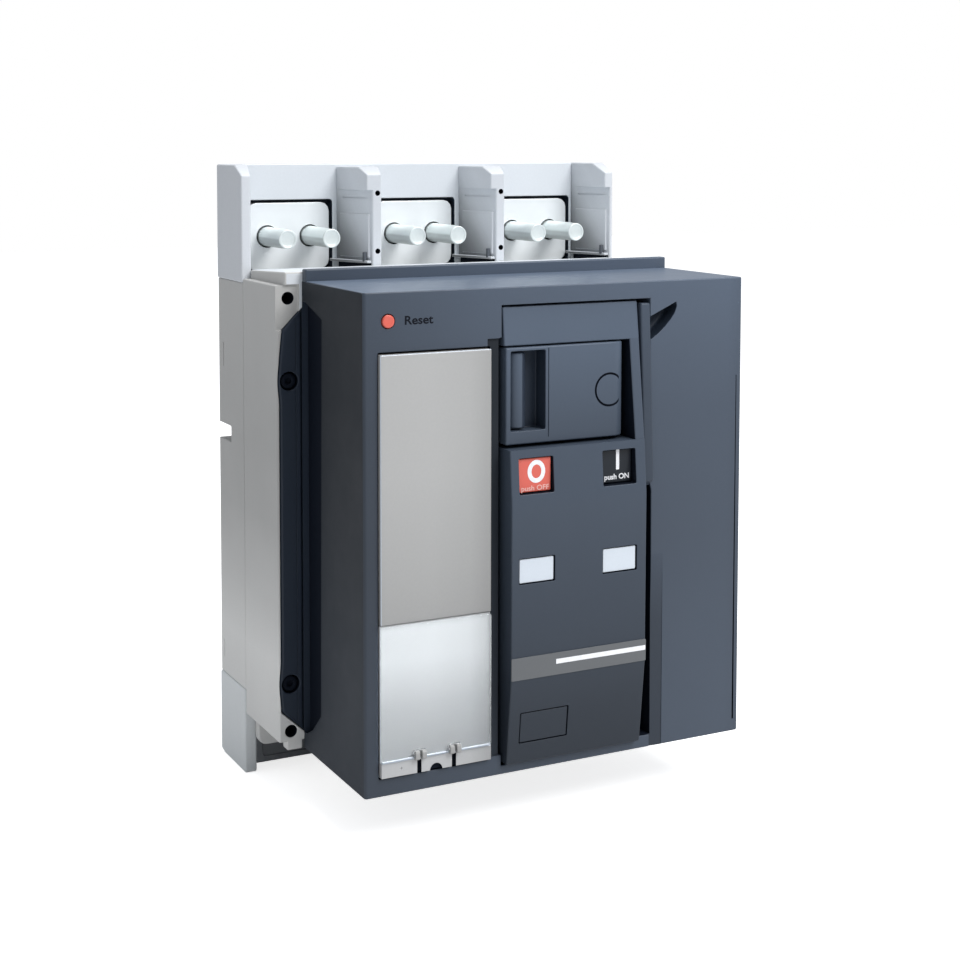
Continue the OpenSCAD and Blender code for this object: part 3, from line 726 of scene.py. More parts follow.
class BREAKER_OT_finishes(Piece, bpy.types.Operator):
    """Makes the procedural materials"""
    bl_idname = "breaker.finishes"
    bl_label = "Finishes"

    def build(self):
        c, grain = colors(), sizes().grain
        up, right = (0, 0, 1), (1, 0, 0)
        # Painted light and shade on the case: lighter near the foot and on the rib's top, darker at mid
        # height
        moulded("case_plastic", c.case, 0.5, grain, fades=[(up, (
            (-107, 1.2), (-70, 1.28), (-42, 0.98), (-5, 0.74), (30, 0.72), (70, 0.8),
            (107, 0.86), (109, 0.95), (116, 1.0)))])
        moulded("terminal_plastic", c.terminal, 0.48, grain)
        # Painted shade: the bays' left-facing side faces get darker towards the rear and the foot
        low = span("upper_left_barrier")[4] + FOOT
        moulded("bay_shade_plastic", c.terminal, 0.48, grain, fades=[((0, -1.6, 1), [(low + s, f) for s, f in (
            (30, 0.24), (40, 0.3), (48, 0.42), (56, 0.58), (64, 0.82), (72, 0.98), (88, 1.14))])])
        # The back wall's own pale grey, also used as painted light on the case rib's top and cap
        moulded("back_wall_and_lit_top_plastic", c.back_wall, 0.46, grain)
        moulded("foot_plastic", c.foot, 0.48, grain)
        # Painted light and shade on the cover: lighter upwards and towards the right
        moulded("cover_plastic", c.cover, 0.4, grain, specular=0.35, fades=[
            (up, ((-112, 0.9), (-60, 0.87), (-10, 0.82), (50, 0.93), (80, 1.1), (112, 1.3))),
            (right, ((-92, 0.6), (-35, 0.86), (60, 1.0), (97, 1.04), (105, 0.92)))])
        # Painted shade on the cover's left face, lighter towards the foot
        moulded("cover_shaded_side_plastic", c.cover_shaded_side, 0.5, grain, specular=0.15,
                fades=[(up, ((-112, 1.3), (-60, 1.2), (0, 0.87), (60, 0.72), (112, 0.75)))])
        # Painted shade on the side bar: darker downwards
        moulded("bar_plastic", c.cover, 0.4, grain, specular=0.3,
                fades=[(up, ((0, 0.62), (60, 0.68), (104, 0.9)))])
        # Painted shade on the facet beside the well: darker downwards
        moulded("facet_shade_plastic", c.cover, 0.4, grain, specular=0.3,
                fades=[(up, ((-112, 0.47), (-75, 0.49), (-50, 0.53), (-30, 0.7), (-19, 0.83)))])
        # Painted light: a lighter copy of the cover's colour for its top face
        moulded("cover_lit_top_plastic", c.cover, 0.34, grain,
                fades=[(right, ((-92, 1.9), (0, 1.75), (105, 1.65)))])
        # Painted shade: near black for recesses, holes, slots and gaps
        moulded("recess_shade_plastic", c.recess, 0.6, grain, specular=0.06)
        # The side strip's own dark colour, also used as painted shade in seats, pockets and recesses
        moulded("strip_and_shade_plastic", c.strip, 0.45, grain, specular=0.3)
        # Painted light and shade on the drive: darker downwards
        moulded("drive_plastic", c.drive, 0.42, grain, specular=0.3, fades=[(up, (
            (-107, 0.29), (-85, 0.33), (-50, 0.48), (-20, 0.57), (15, 0.7), (48, 0.74),
            (80, 1.05), (104, 1.05)))])
        # Painted shade on the trip unit's plate: darker downwards and near its right edge
        moulded("plate_plastic", c.plate, 0.34, grain * 0.4, 0.015, fades=[
            (up, ((-35, 0.68), (-12, 0.75), (30, 0.85), (84, 0.87))),
            (right, ((-85, 0.97), (-60, 1.0), (-42, 0.95), (-31, 0.8)))])
        # Painted light, shade and reflection on the trip unit's base: darker downwards and near its right
        # edge
        moulded("pale_plastic", c.pale, 0.4, grain * 0.4, 0.015, fades=[
            (up, ((-105, 0.66), (-95.5, 0.66), (-94, 0.5), (-84, 0.58), (-72, 0.68),
                  (-52, 0.95), (-36, 1.0))),
            (right, ((-85, 0.98), (-60, 1.0), (-42, 0.93), (-31, 0.7)))])
        moulded("off_plastic", c.off, 0.3, grain * 0.5)
        moulded("on_plastic", c.on, 0.35, grain * 0.5, specular=0.3)
        # The flag windows' own white, also used as painted highlights along edges
        moulded("flag_and_highlight_plastic", c.window, 0.22, grain * 0.3, 0.02)
        moulded("band_foil", c.band, 0.4, grain * 0.5)
        # Painted light and shade on the studs: lighter on top, darker underneath
        low, high = (h + FOOT for h in span("upper_studs")[4:])
        plated("zinc", c.metal, 0.34, 0.0005, axis=(1, 0.12, 1), metal=0.6, mottle=0.035, fades=[(up, (
            (low - 0.5, 0.4), (low + 0.9, 0.62), (low + 3.2, 0.74), (low + 4.6, 0.67),
            (low + 5.6, 0.93), (high, 1.0)))])
        plated("zinc_tip", [v * 0.93 for v in c.metal], 0.4, metal=0.3, mottle=0.1)
        plated("dark_steel", c.steel, 0.4, metal=0.5)
        plated("silver", c.silver, 0.42, axis=(0.08, 1, 1), metal=0.3, mottle=0.02)
        printed("ink_dark", c.ink_dark)
        printed("ink_white", c.ink_white)
        printed("ink_pink", c.ink_pink)
        clear("clear_plastic", (0.97, 0.98, 0.985))


class BREAKER_OT_case(Piece, bpy.types.Operator):
    """Rear base and front half of the case"""
    bl_idname = "breaker.case"
    bl_label = "Case"

    def bores(self, rows, face, depth, side):
        """Cutters for the fixing holes in the given rows, on both sides."""
        return [pocket("d", disc(s * FIX_X, h, FIX_R), face, depth, 0.4, 0, side)
                for s in (-1, 1) for h in rows]

    def build(self):
        edge = sizes().case_edge
        x0, x1, d0, d1, h0, h1 = span("rear_base")
        base = box(x0, x1, d0, d1, h0, h1, edge * 0.7)
        for pole in (-POLE, 0, POLE):
            cut(base, pocket("d", rect(pole - 27, pole + 27, h0 + 14, h1 - 14, 4), d0, 1.4, 0.4, 0.8, -1))
            for dx, dh in ((-20, 24), (20, 24), (-20, 178), (20, 178)):
                cut(base, pocket("d", disc(pole + dx, h0 + dh, 2.6, 24), d0 + 1.4, 1.6, 0.2, 0.3, -1, 1))
        for x, side in ((x0, -1), (x1, 1)):
            cut(base, pocket("x", rect(-4, 18, h0 + 120, h0 + 128, 0.7), x, 13.5, 0.4, 0.4, side),
                pocket("x", rect(6.6, 7.6, h0 + 157, h0 + 169, 0.4), x, 0.6, 0.2, 0.1, side, 1),
                pocket("x", rect(4.6, 5.6, h0 + 8, h0 + 17, 0.4), x, 0.6, 0.2, 0.1, side, 1))
        cut(base, *self.bores([FIX_HIGH], d0, d1 + 1, -1))
        stand_in(base, "rear_base", "case_plastic")

        x0, x1, d0, d1, h0, h1 = span("mid_case")
        strip = span("side_flange")
        step = h1 - 7
        case = box(x0, x1, d0, d1, h0 + 15, step, edge)
        rib = prism("x", [(d0, step - 8), (d1, step - 8), (d1, h1 - 0.7), (d0, h1 - 2.8)], x0 + 4, x1 - 4)
        lip = slab("d", rect(x0 + 4.5, x1 - 4.5, h0, h0 + 20, 4.5), d0 + 0.5, d0 + 6, 0.8)
        ear = box(x0 + 4, strip[1] - 0.6, d1 - 6, d1, h0 + 11, h0 + 18, 0.7)
        join(case, soften(rib, edge), lip, ear)
        cut(case, pocket("d", strip_outline(0.3), d1, 7.9, 0.4, 0.2),
            pocket("d", poly([(x0 - 3, strip[5] - 9.5), (strip[1] - 1.2, strip[5] - 9.5),
                              (strip[1] - 1.2, step + 0.3), (x0 - 3, step + 0.3)]), d1, 1.5, 0.4, 0.5))
        cut(case, *self.bores([FIX_HIGH, FIX_LOW], d1, d1 - d0 + 1, 1))
        cut(case, block(strip[1] + 0.3, strip[1] + 6, d1 - 0.5, d1 + 1, h0 + 10, step + 0.2),
            block(strip[1] + 1.4, strip[1] + 6, d1 - 0.5, d1 + 1, step, h1 + 1))
        for left, right in ((x0 - 1, x0 + 0.5), (x1 - 0.5, x1 + 1)):
            cut(case, block(left, right, d0 - 1, d0 + 0.5, h0 + 14, step + 1))
        stand_in(case, "mid_case", "case_plastic")
        # Painted shade: the case's face and pocket wall between the side strip and the cover take the dark
        # strip finish
        patch(case, "strip_and_shade_plastic", lambda x, d, h, n: h0 + 9 < h < step + 0.3 and (
              (d > d1 - 0.9 and strip[1] - 0.2 < x < strip[1] + 6.1)
              or (d > d1 - 8.1 and strip[1] - 0.2 < x < strip[1] + 0.5)))
        # Painted light: the rib's top and the cap's front take the paler back-wall finish
        patch(case, "back_wall_and_lit_top_plastic", lambda x, d, h, n: (n.z > 0.9 and h > step + 1)
              or (n.y < -0.9 and d > d1 - 0.05 and x < strip[1] + 0.2 and h > strip[5] - 2))
        # Painted shade: near black on the walls of the fixing holes
        patch(case, "recess_shade_plastic", lambda x, d, h, n: d0 + 5 < d < d1 - 1.6 and h > h0 + 2 and any(
            math.hypot(x + FIX_X, h - z) < FIX_R + 0.1 for z in (FIX_HIGH, FIX_LOW)))


class BREAKER_OT_upper_terminals(Piece, bpy.types.Operator):
    """Upper terminal block: back wall, side walls and barriers"""
    bl_idname = "breaker.upper_terminals"
    bl_label = "Upper terminals"

    def wall(self, node, plan, lower=0.0):
        """A wall with a slanted front top edge, from its plan of (x, d) points."""
        x0, x1, d0, d1, h0, h1 = span(node)
        slant = [(d1 - 10, h1 + 0.001), (d1 + 5, h1 - 7.5), (d1 + 5, h1 + 5), (d1 - 10, h1 + 5)]
        return cut(prism("h", plan, h0, h1 - lower), prism("x", slant, x0 - 5, x1 + 5))

    def dress_left_side(self, wall, front_x, h0):
        """Pocket, groove, raised panel, ledge and pin seat on the left face of a wall."""
        d_front, d_rear, sunk = 37, 10, 3.2
        root = 5.5 if abs(front_x) < 90 else 5

        def face(d):
            return front_x - root * (d_front - d) / (d_front - d_rear)

        def floor(d):
            return face(12) + (front_x + sunk - face(12)) * (d - 12) / (d_front - 12)

        def layer(front, rear, right, left, low, high):
            """A layer along the floor, reaching right and left of it, between two depths and two heights."""
            return prism("h", [(floor(front) + right, front), (floor(front) - left, front),
                               (floor(rear) - left, rear), (floor(rear) + right, rear)], h0 + low, h0 + high)

        mouth = [(floor(38), 38), (front_x - 12, 38), (front_x - 12, 12), (face(12), 12)]
        cut(wall, prism("h", mouth, h0 - 1, h0 + 44))
        soften(wall, sizes().case_edge * 0.8)
        ledge = prism("h", [(floor(36) + 0.6, 36), (front_x + 0.6, 36), (face(14) - 4.4, 13.4),
                            (face(14) - 4.4, 9.6), (face(14) + sunk, 9.6)], h0 + 7.3, h0 + 8.6)
        join(wall, soften(layer(35, 14, 1, 0.8, 10, 32), 0.4), soften(ledge, 0.3))
        cut(wall, layer(36, 11, 0.8, 6, -1, 7.3), layer(33, 15, 0.5, 3, 39.7, 40.3))

    def shade_slot(self, wall, h0):
        # Painted shade: left-facing faces darken towards the rear and the foot, and the slot under the ledge
        # is painted near black
        patch(wall, "bay_shade_plastic", lambda x, d, h, n: n.x < -0.8 and h > h0 + 7.3)
        patch(wall, "recess_shade_plastic", lambda x, d, h, n: h < h0 + 7.29 and 11 < d < 36.1 and n.x < -0.8)

    def build(self):
        x0, x1, d0, d1, h0, h1 = span("upper_back_wall")
        # Painted shade: the walls of the pads' seats take the dark strip finish
        patch(back_wall("upper", "back_wall_and_lit_top_plastic", "terminal_pale"), "strip_and_shade_plastic",
              lambda x, d, h, n: d1 - 8.5 < d < d1 - 0.4 and h0 + 2 < h < h1 - 4 and abs(x) < x1 - 1)

        for node, sign in (("upper_left_wall", -1), ("upper_right_wall", 1)):
            h0 = span(node)[4]
            out, inner, plan = side_plan(node, sign)
            wall = self.wall(node, plan)
            if sign > 0:
                self.dress_left_side(wall, inner + 5, h0)
            else:
                soften(wall, sizes().case_edge)
            stand_in(wall, node, "terminal_plastic")
            if sign > 0:
                self.shade_slot(wall, h0)

        x0, x1, d0, d1, h0, h1 = span("upper_left_barrier")
        barrier = self.wall("upper_left_barrier", [(x0, d0), (x1, d0), (x1 - 5.5, d1), (x0 + 5.5, d1)], 1.3)
        self.dress_left_side(barrier, x0 + 5.5, h0)
        holes = (h0 + 13.3, h0 + 42.5)
        cut(barrier, *[pocket("d", disc((x0 + x1) / 2 + 2, h, 1.35, 24), d1, 7, 0.15, 0.2) for h in holes])
        for node in ("upper_left_barrier", "upper_right_barrier"):
            wall = placed(node, barrier.data.copy())
            shift = span(node)[0] - x0
            wall.data.transform(Matrix.Translation(at(shift, 0, 0) - at(0, 0, 0)))
            stand_in(wall, node, "terminal_plastic")
            self.shade_slot(wall, h0)
            middle = (x0 + x1) / 2 + 2 + shift
            # Painted shade: near black inside the barrier's two holes
            patch(wall, "recess_shade_plastic", lambda x, d, h, n: d1 - 7.5 < d < d1 - 0.3 and abs(x - middle) < 1.4
                  and min(abs(h - z) for z in holes) < 1.4)
        drop(barrier)


class BREAKER_OT_lower_terminals(Piece, bpy.types.Operator):
    """Lower terminal block and its shield"""
    bl_idname = "breaker.lower_terminals"
    bl_label = "Lower terminals"

    def build(self):
        edge = sizes().case_edge
        back_wall("lower", "foot_plastic", "terminal_grey")
        for node, sign in (("lower_left_wall", -1), ("lower_right_wall", 1)):
            x0, x1, d0, d1, h0, h1 = span(node)
            out, inner, plan = side_plan(node, sign)
            toe = [(-1, h0 + 1.44), (5, h0), (5, h0 - 2), (-1, h0 - 2)]
            wall = soften(cut(prism("h", plan, h0, h1), prism("x", toe, x0 - 1, x1 + 1)), edge)
            left, right = sorted((out - sign * 0.3, sign * (FIX_X - FIX_R - 1.5)))
            boss = block(left, right, 10, d1 - 0.2, FIX_LOW - FIX_R - 0.7, h1 - 0.2)
            join(wall, soften(boss, edge * 0.7))
            cut(wall, pocket("d", disc(sign * FIX_X, FIX_LOW, FIX_R), d0, d1 + 1, 0.4, 0, -1))
            stand_in(wall, node, "foot_plastic")

        for node in ("lower_left_barrier", "lower_right_barrier"):
            stand_in(soften(copy_of(node), edge), node, "foot_plastic")
        x0, x1, d0, d1, h0, h1 = span("lower_shield")
        shield = box(x0, x1, d0, d1, h0, h1, 0.6)
        for pole in (-POLE, 0, POLE):
            cut(shield, pocket("d", rect(pole - 26, pole + 26, h0 + 3, h1 - 3, 2), d1, 0.8, 0.3, 0.3))
        stand_in(shield, "lower_shield", "band_foil")


class BREAKER_OT_pads(Piece, bpy.types.Operator):
    """Silvered terminal pads"""
    bl_idname = "breaker.pads"
    bl_label = "Terminal pads"

    def build(self):
        for row in ("upper", "lower"):
            x0, x1, d0, d1, h0, h1 = span(row + "_studs")
            r, row_h = (h1 - h0) / 2, (h0 + h1) / 2
            for side in SIDES:
                node = f"{row}_{side}_pad"
                left, right, rear, front = span(node)[:4]
                middle = (left + right) / 2
                pad = slab("d", front_of(node, 0, 4.6, 4), rear, front, 0.5)
                seats = [disc(middle + s * STUD_X, row_h, r + 0.7, 40) for s in (-1, 1)]
                cut(pad, *[pocket("d", seat, front, 2.9, 0.2, 0.2) for seat in seats])
                stand_in(pad, node, "silver", kind="plate")
                # Painted shade: near black in the seats round the studs
                patch(pad, "recess_shade_plastic", lambda x, d, h, n: front - 3.2 < d < front - 0.25
                      and h0 - 2 < h < h1 + 2 and abs(abs(x - middle) - STUD_X) < r + 0.8)


class BREAKER_OT_studs(Piece, bpy.types.Operator):
    """Terminal studs: a plain shank with a waisted end and a dished tip"""
    bl_idname = "breaker.studs"
    bl_label = "Terminal studs"

    def build(self):
        for node in ("upper_studs", "lower_studs"):
            x0, x1, d0, d1, h0, h1 = span(node)
            r = (h1 - h0) / 2
            profile = [(0, d0), (r, d0), (r, d0 + 3), (r, d0 + 7.0), (r - 0.15, d0 + 7.4), (r - 0.15, d1 - 7),
                       (r - 0.3, d1 - 6.6), (r - 0.3, d1 - 0.4), (r - 0.42, d1 - 0.12), (r - 0.7, d1),
                       (r - 1.0, d1), (r - 1.3, d1 - 0.25), (r - 1.9, d1 - 0.5), (0, d1 - 0.6)]
            stud = turned(profile, 0, 0, 48)
            row = repeated(stud, "zinc", (x0 + r, 0, (h0 + h1) / 2), 3, (POLE, 0, 0),
                           2, (x1 - x0 - 2 * r - 2 * POLE, 0, 0))
            stand_in(row, node, "zinc", kind="turned")
            patch(row, "zinc_tip", lambda x, d, h, n: d > d1 - 0.8)


class BREAKER_OT_small_screws(Piece, bpy.types.Operator):
    """Screws in the bays and in the side strip"""
    bl_idname = "breaker.small_screws"
    bl_label = "Small screws"

    def build(self):
        x0, x1, d0, d1, h0, h1 = span("bay_screws")
        screws = [soften(prism("h", circle(x, d0 + 3.2, 1.1, 24), h0 + 8, h0 + 12.8), 0.3)
                  for x in (x0 + 7.4, x0 + 77.4, x1 + 3.3)]
        stand_in(gather(*screws), "bay_screws", "dark_steel", kind="turned")
        x0, x1, d0, d1, h0, h1 = span("flange_screws")
        r = (x1 - x0) / 2
        profile = [(0, d0), (r, d0), (r, d1 - 0.9), (r - 0.25, d1 - 0.35), (r - 0.7, d1 - 0.05),
                   (r - 1.3, d1), (1.75, d1), (1.5, d1 - 0.2), (1.4, d1 - 1.7), (0, d1 - 1.9)]
        screw = turned(profile, 0, 0)
        # Painted shade: the screws take the near-black shade finish of their dark pockets
        row = repeated(screw, "strip_and_shade_plastic", (x0 + r, 0, h0 + r), 2, (0, 0, h1 - h0 - 2 * r))
        stand_in(row, "flange_screws", "recess_shade_plastic", kind="turned")


class BREAKER_OT_side_strip(Piece, bpy.types.Operator):
    """Dark strip down the left side"""
    bl_idname = "breaker.side_strip"
    bl_label = "Side strip"

    def build(self):
        x0, x1, d0, d1, h0, h1 = span("side_flange")
        strip = slab("d", strip_outline(0), d0, d1, 1.2)
        cut(strip, *[pocket("d", disc(SCREW_X, h, 4.4, 36), d1, 4, 0.5, 0.2) for h in SCREW_HS],
            pocket("d", rect(x1 - 3.1, x1 - 2.7, h0 + 5, h1 - 5, 0.15), d1, 0.4, 0.1, 0.05))
        finish(strip, "side_strip_shell", "strip_and_shade_plastic", nodes=["side_flange"])
        # Painted shade: near black in the screw pockets
        patch(strip, "recess_shade_plastic", lambda x, d, h, n: d < d1 - 0.6 and any(
            math.hypot(x - SCREW_X, h - z) < 4.45 for z in SCREW_HS))


class BREAKER_OT_cover(Piece, bpy.types.Operator):
    """Front cover with its top band and side bar"""
    bl_idname = "breaker.cover"
    bl_label = "Front cover"

    def build(self):
        edge = sizes().cover_edge
        x0, x1, d0, d1, h0, h1 = span("front_cover")
        cover = slab("h", nose(x0, x1, d0, d1, 1.6), h0, h1, edge)
        recess = [(d0 - 2, h0 + 7), (d0 + 3, h0 + 8), (d0 + 10, h0 + 11.5), (d0 + 21, h0 + 21.5),
                  (d0 + 24, h1 - 16), (d0 + 3.5, h1 - 9.8), (d0 - 2, h1 - 9.8)]
        cut(cover, pocket("x", poly(recess), x0, 3, 0.5, 0.5, -1))
        trip0, trip1 = span("trip_unit_strip"), span("trip_unit_plate")
        cut(cover, pocket("d", rect(TRIP_LEFT - 0.35, trip1[1] + 0.9, trip0[4] - 0.1, trip1[5] + 0.9, 0.6),
                          d1, 8, 0.4, 0.2))
        drive, bar, reset = span("drive_frame"), span("cover_bar"), span("reset_button")
        left, right, low, high = drive[0], drive[1], drive[4], drive[5]
        well = [(left - 0.9, low - 0.9), (right + 0.3, low - 0.9), (right + 0.3, low + 0.8),
                (bar[1] + 2.1, low + 0.8), (bar[1] + 1.3, bar[4] - 2), (bar[1] + 0.2, bar[4] + 2),
                (bar[1] + 0.2, high + 0.9), (left - 0.9, high + 0.9)]
        cut(cover, pocket("d", poly(well), d1, 18, 0.5, 0.2),
            pocket("d", rect(left - 2.0, left + 3, low + 4, high - 13.5, 0.8), d1, 18, 0.5, 0.2),
            pocket("d", rect(trip1[1] - 1, left - 1, low + 4, high - 13.8, 0.3), d1, 1.2, 0.3, 0.2))
        # Beside the well the face leans a little towards it, less and less upwards
        near, far = bar[1] + 1.0, bar[1] + 8
        cut(cover, loft("h", [([(near, d1 - deep), (far, d1 - deep / 4), (far, d1 + 1), (near, d1 + 1)], h)
                              for deep, h in ((1.1, h0 - 1), (0.7, h0 + 62), (0.02, h0 + 92))]))
        scoop = [(bar[1] + x, high - down) for x, down in (
            (-0.5, 8), (14.6, 1.3), (14.9, 3.4), (13.8, 6.4), (11.6, 9.4), (8.6, 12.5), (5.0, 15.6),
            (1.2, 18.1), (-0.5, 18.6))]
        button_hole = disc((reset[0] + reset[1]) / 2, (reset[4] + reset[5]) / 2, 3.25)
        slit = [(x1 - 3.7, h0 + 6), (x1 - 2.8, h0 + 6), (x1 - 3.0, h0 + 174), (x1 - 3.4, h0 + 174)]
        cut(cover, pocket("d", poly(scoop), d1, 9, 0.3, 1.5), pocket("d", button_hole, d1, 14, 0.35, 0),
            prism("d", slit, d1 - 1.5, d1 + 1))
        stand_in(cover, "front_cover", "cover_plastic")
        # Painted shade: near black in the left-side recess, the drive's well, the gap beside the bar and the
        # slit
        patch(cover, "recess_shade_plastic",
              lambda x, d, h, n: (x0 + 0.2 < x < x0 + 3.2 and d < d0 + 21 and h0 + 5 < h < h1 - 3)
              or (d0 + 20 < d < d1 - 0.6 and x0 + 3.5 < x < bar[1] - 0.3 and h0 + 2 < h < h1 - 2)
              or (d0 + 20 < d < d1 - 1.4 and bar[1] - 0.4 < x < bar[1] + 1.7 and h0 + 2 < h < bar[4])
              or (d0 + 20 < d < d1 - 0.6 and x1 - 4 < x < x1 - 1 and h0 + 5 < h < h0 + 175))
        # Painted shade: the shallow groove beside the trip unit and the cover's left face take the darker
        # side finish
        patch(cover, "cover_shaded_side_plastic",
              lambda x, d, h, n: trip1[1] + 0.5 < x < left - 1.7 and d1 - 1.4 < d < d1 - 0.3
              and h0 + 5 < h < trip1[5] + 4)
        patch(cover, "cover_shaded_side_plastic", lambda x, d, h, n: n.x < -0.8 and x < x0 + 0.05)
        # Painted light on the cover's top face
        patch(cover, "cover_lit_top_plastic", lambda x, d, h, n: n.z > 0.9 and h > h1 - 0.05)
        # Painted shade on the facet that leans towards the well
        patch(cover, "facet_shade_plastic",
              lambda x, d, h, n: n.y < -0.9 and d > d1 - 1.3 and bar[1] + 1 < x < bar[1] + 7 and h < h0 + 93)
        # Painted shade inside the finger scoop
        patch(cover, "strip_and_shade_plastic",
              lambda x, d, h, n: d0 + 20 < d < d1 - 0.5 and bar[1] - 0.6 < x < bar[1] + 16
              and bar[5] - 22 < h < h1 - 2)

        x0, x1, d0, d1, h0, h1 = span("top_band")
        band = box(x0, x1, d0 + 0.02, d1, h0 - 0.5, h1, 0.7)
        stand_in(band, "top_band", "cover_plastic")
        rod = copy_of("cover_bar")
        cut(rod, block(bar[0] - 1, bar[1] + 1, bar[2] - 2, bar[3] + 2, bar[5] - 1.2, bar[5] + 1))
        stand_in(soften(rod, 0.9), "cover_bar", "bar_plastic")


class BREAKER_OT_trip_unit(Piece, bpy.types.Operator):
    """Trip unit: base, plate, strip, lugs and clear cover"""
    bl_idname = "breaker.trip_unit"
    bl_label = "Trip unit"

    def build(self):
        x0, x1, d0, d1, h0, h1 = span("trip_unit_base")
        base = box(TRIP_LEFT, x1, d0, d1, h0, h1, 0.4)
        stand_in(base, "trip_unit_base", "pale_plastic")
        # Painted highlight on the base's left edge
        patch(base, "flag_and_highlight_plastic", lambda x, d, h, n: d > d1 - 0.5 and n.x < -0.2 and n.y > -0.95)
        x0, x1, d0, d1, h0, h1 = span("trip_unit_plate")
        plate = box(TRIP_LEFT, x1, d0, d1, h0, h1, 0.6)
        stand_in(plate, "trip_unit_plate", "plate_plastic")
        # Painted highlight along the plate's left and top edges
        patch(plate, "flag_and_highlight_plastic", lambda x, d, h, n: d > d1 - 0.7 and 0.2 < max(-n.x, n.z) and n.y > -0.95)

        x0, x1, d0, d1, h0, h1 = span("trip_unit_strip")
        h0, h1 = h0 + 0.7, h1 + 0.5
        strip = box(TRIP_LEFT + 0.1, x1, d0, d1, h0, h1, 0.3)
        notches = [disc((x0 + x1) / 2, h0, 3)]
        notches += [rect(x - 1.0, x + 1.0, h0 - 2, h1 - 0.8, 0.4) for x in LUG_XS]
        cut(strip, *[pocket("d", notch, d1, 2, 0.2, 0.2) for notch in notches])
        cut(strip, pocket("d", disc(x0 + (x1 - x0) * 0.19, h1 - 3.4, 0.5, 16), d1, 0.4, 0.2, 0.1))
        stand_in(strip, "trip_unit_strip", "pale_plastic")
        # Painted shade: near black in the strip's slots
        patch(strip, "recess_shade_plastic", lambda x, d, h, n: d1 - 2.3 < d < d1 - 0.3 and h < h1 - 0.7
              and x > x0 + (x1 - x0) * 0.25 and x < x1 - 2)
        # Painted highlight along the strip's top edge
        patch(strip, "flag_and_highlight_plastic", lambda x, d, h, n: n.z > 0.2 and h > h1 - 0.4)

        x0, x1, d0, d1, h0, h1 = span("sealing_lugs")
        side = rect(d0 - 0.4, d1 - 0.1, h0 + 2.4, h1 + 4.2, 1.1)
        eye = circle((d0 + d1) / 2, (h0 + h1) / 2 + 3.3, 0.6, 16)
        lugs = []
        for x in LUG_XS:
            for s in (-1, 1):
                middle = x + s * 1.65
                lug = slab("x", side, middle - 1.15, middle + 1.15, 0.4)
                lugs.append(cut(lug, prism("x", eye, middle - 2, middle + 2)))
        stand_in(gather(*lugs), "sealing_lugs", "plate_plastic")

        x0, x1, d0, d1, h0, h1 = span("clear_cover")
        cover = slab("d", rect(TRIP_LEFT, x1, h0 + 0.6, h1, 0.8), d0, d1, 0.35)
        notches = [rect(x - 3.0, x + 3.0, h0 - 2, h0 + 3.8, 0.5) for x in LUG_XS]
        cut(cover, *[pocket("d", notch, d1, 4, 0.15, 0) for notch in notches])
        stand_in(cover, "clear_cover", "clear_plastic", "trip_cover")
        # Painted highlight along the clear cover's bottom edge
        patch(cover, "flag_and_highlight_plastic", lambda x, d, h, n: n.z < -0.3 and h < h0 + 1.0)


class BREAKER_OT_reset(Piece, bpy.types.Operator):
    """Reset button"""
    bl_idname = "breaker.reset"
    bl_label = "Reset button"

    def build(self):
        x0, x1, d0, d1, h0, h1 = span("reset_button")
        r = (x1 - x0) / 2
        profile = [(0, d0), (r, d0), (r, d1 - 0.6), (r - 0.1, d1 - 0.3), (r - 0.35, d1 - 0.08), (r - 0.7, d1),
                   (r * 0.55, d1 - 0.1), (r * 0.25, d1 - 0.18), (0, d1 - 0.2)]
        button = turned(profile, (x0 + x1) / 2, (h0 + h1) / 2)
        stand_in(button, "reset_button", "off_plastic", "reset", kind="turned")


class BREAKER_OT_drive(Piece, bpy.types.Operator):
    """Drive: housing and one-piece front"""
    bl_idname = "breaker.drive"
    bl_label = "Drive"

    def build(self):
        # Painted shade: the drive's frame, seen through gaps, and the handle's pin take the near-black shade
        # finish
        for node in ("drive_frame", "handle_pin"):
            NODES[node].data.materials.clear()
            NODES[node].data.materials.append(FINISHES["recess_shade_plastic"])
        x0, x1, d0, d1, h0, h1 = span("drive_fascia")
        hood_foot = span("charging_handle")[5] + 0.7

        def profile(low, high):
            """The front's side outline between two heights."""
            face = [(low, FASCIA_DEPTH(0, low))] + [p for p in FASCIA if low < p[0] < high]
            return [(d0, low)] + [(d, h) for h, d in face + [(high, FASCIA_DEPTH(0, high))]] + [(d0, high)]

        panel = soften(prism("x", profile(h0, PANEL_TOP), x0, x1), 0.7)
        hood = soften(prism("x", profile(hood_foot, h1), x0, x1), 0.7)
        low, high = PANEL_TOP - 4, hood_foot + 4
        column = prism("x", [(d0, low), (FASCIA_DEPTH(0, low) - 0.08, low),
                             (FASCIA_DEPTH(0, high) - 0.08, high), (d0, high)], x1 - 5.2, x1)
        join(panel, hood, soften(column, 0.7))
        for node in ("off_button", "on_button"):
            cut(panel, pocket("d", front_of(node, 0.4, 0.7), FASCIA_DEPTH, d1 - d0 + 2, 0.35, 0))
        for node, deep in (("left_window", 1.9), ("right_window", 1.9), ("lock_plate", 1.4)):
            cut(panel, pocket("d", front_of(node, 0.5), FASCIA_DEPTH, deep, 0.25, 0.1))
        stand_in(panel, "drive_fascia", "drive_plastic")
        # Painted shade: near black on the walls of the fascia's pockets and on the column's inner face
        patch(panel, "recess_shade_plastic",
              lambda x, d, h, n: (d < FASCIA_DEPTH(x, h) - 0.4
                                  and h0 + 1 < h < PANEL_TOP - 1 and x0 + 1 < x < x1 - 1)
              or (n.x < -0.9 and x > x1 - 6 and PANEL_TOP < h < hood_foot))
        patch(panel, "cover_plastic",
              lambda x, d, h, n: x > x1 - 5.2 and PANEL_TOP < h < hood_foot and n.y < -0.3)


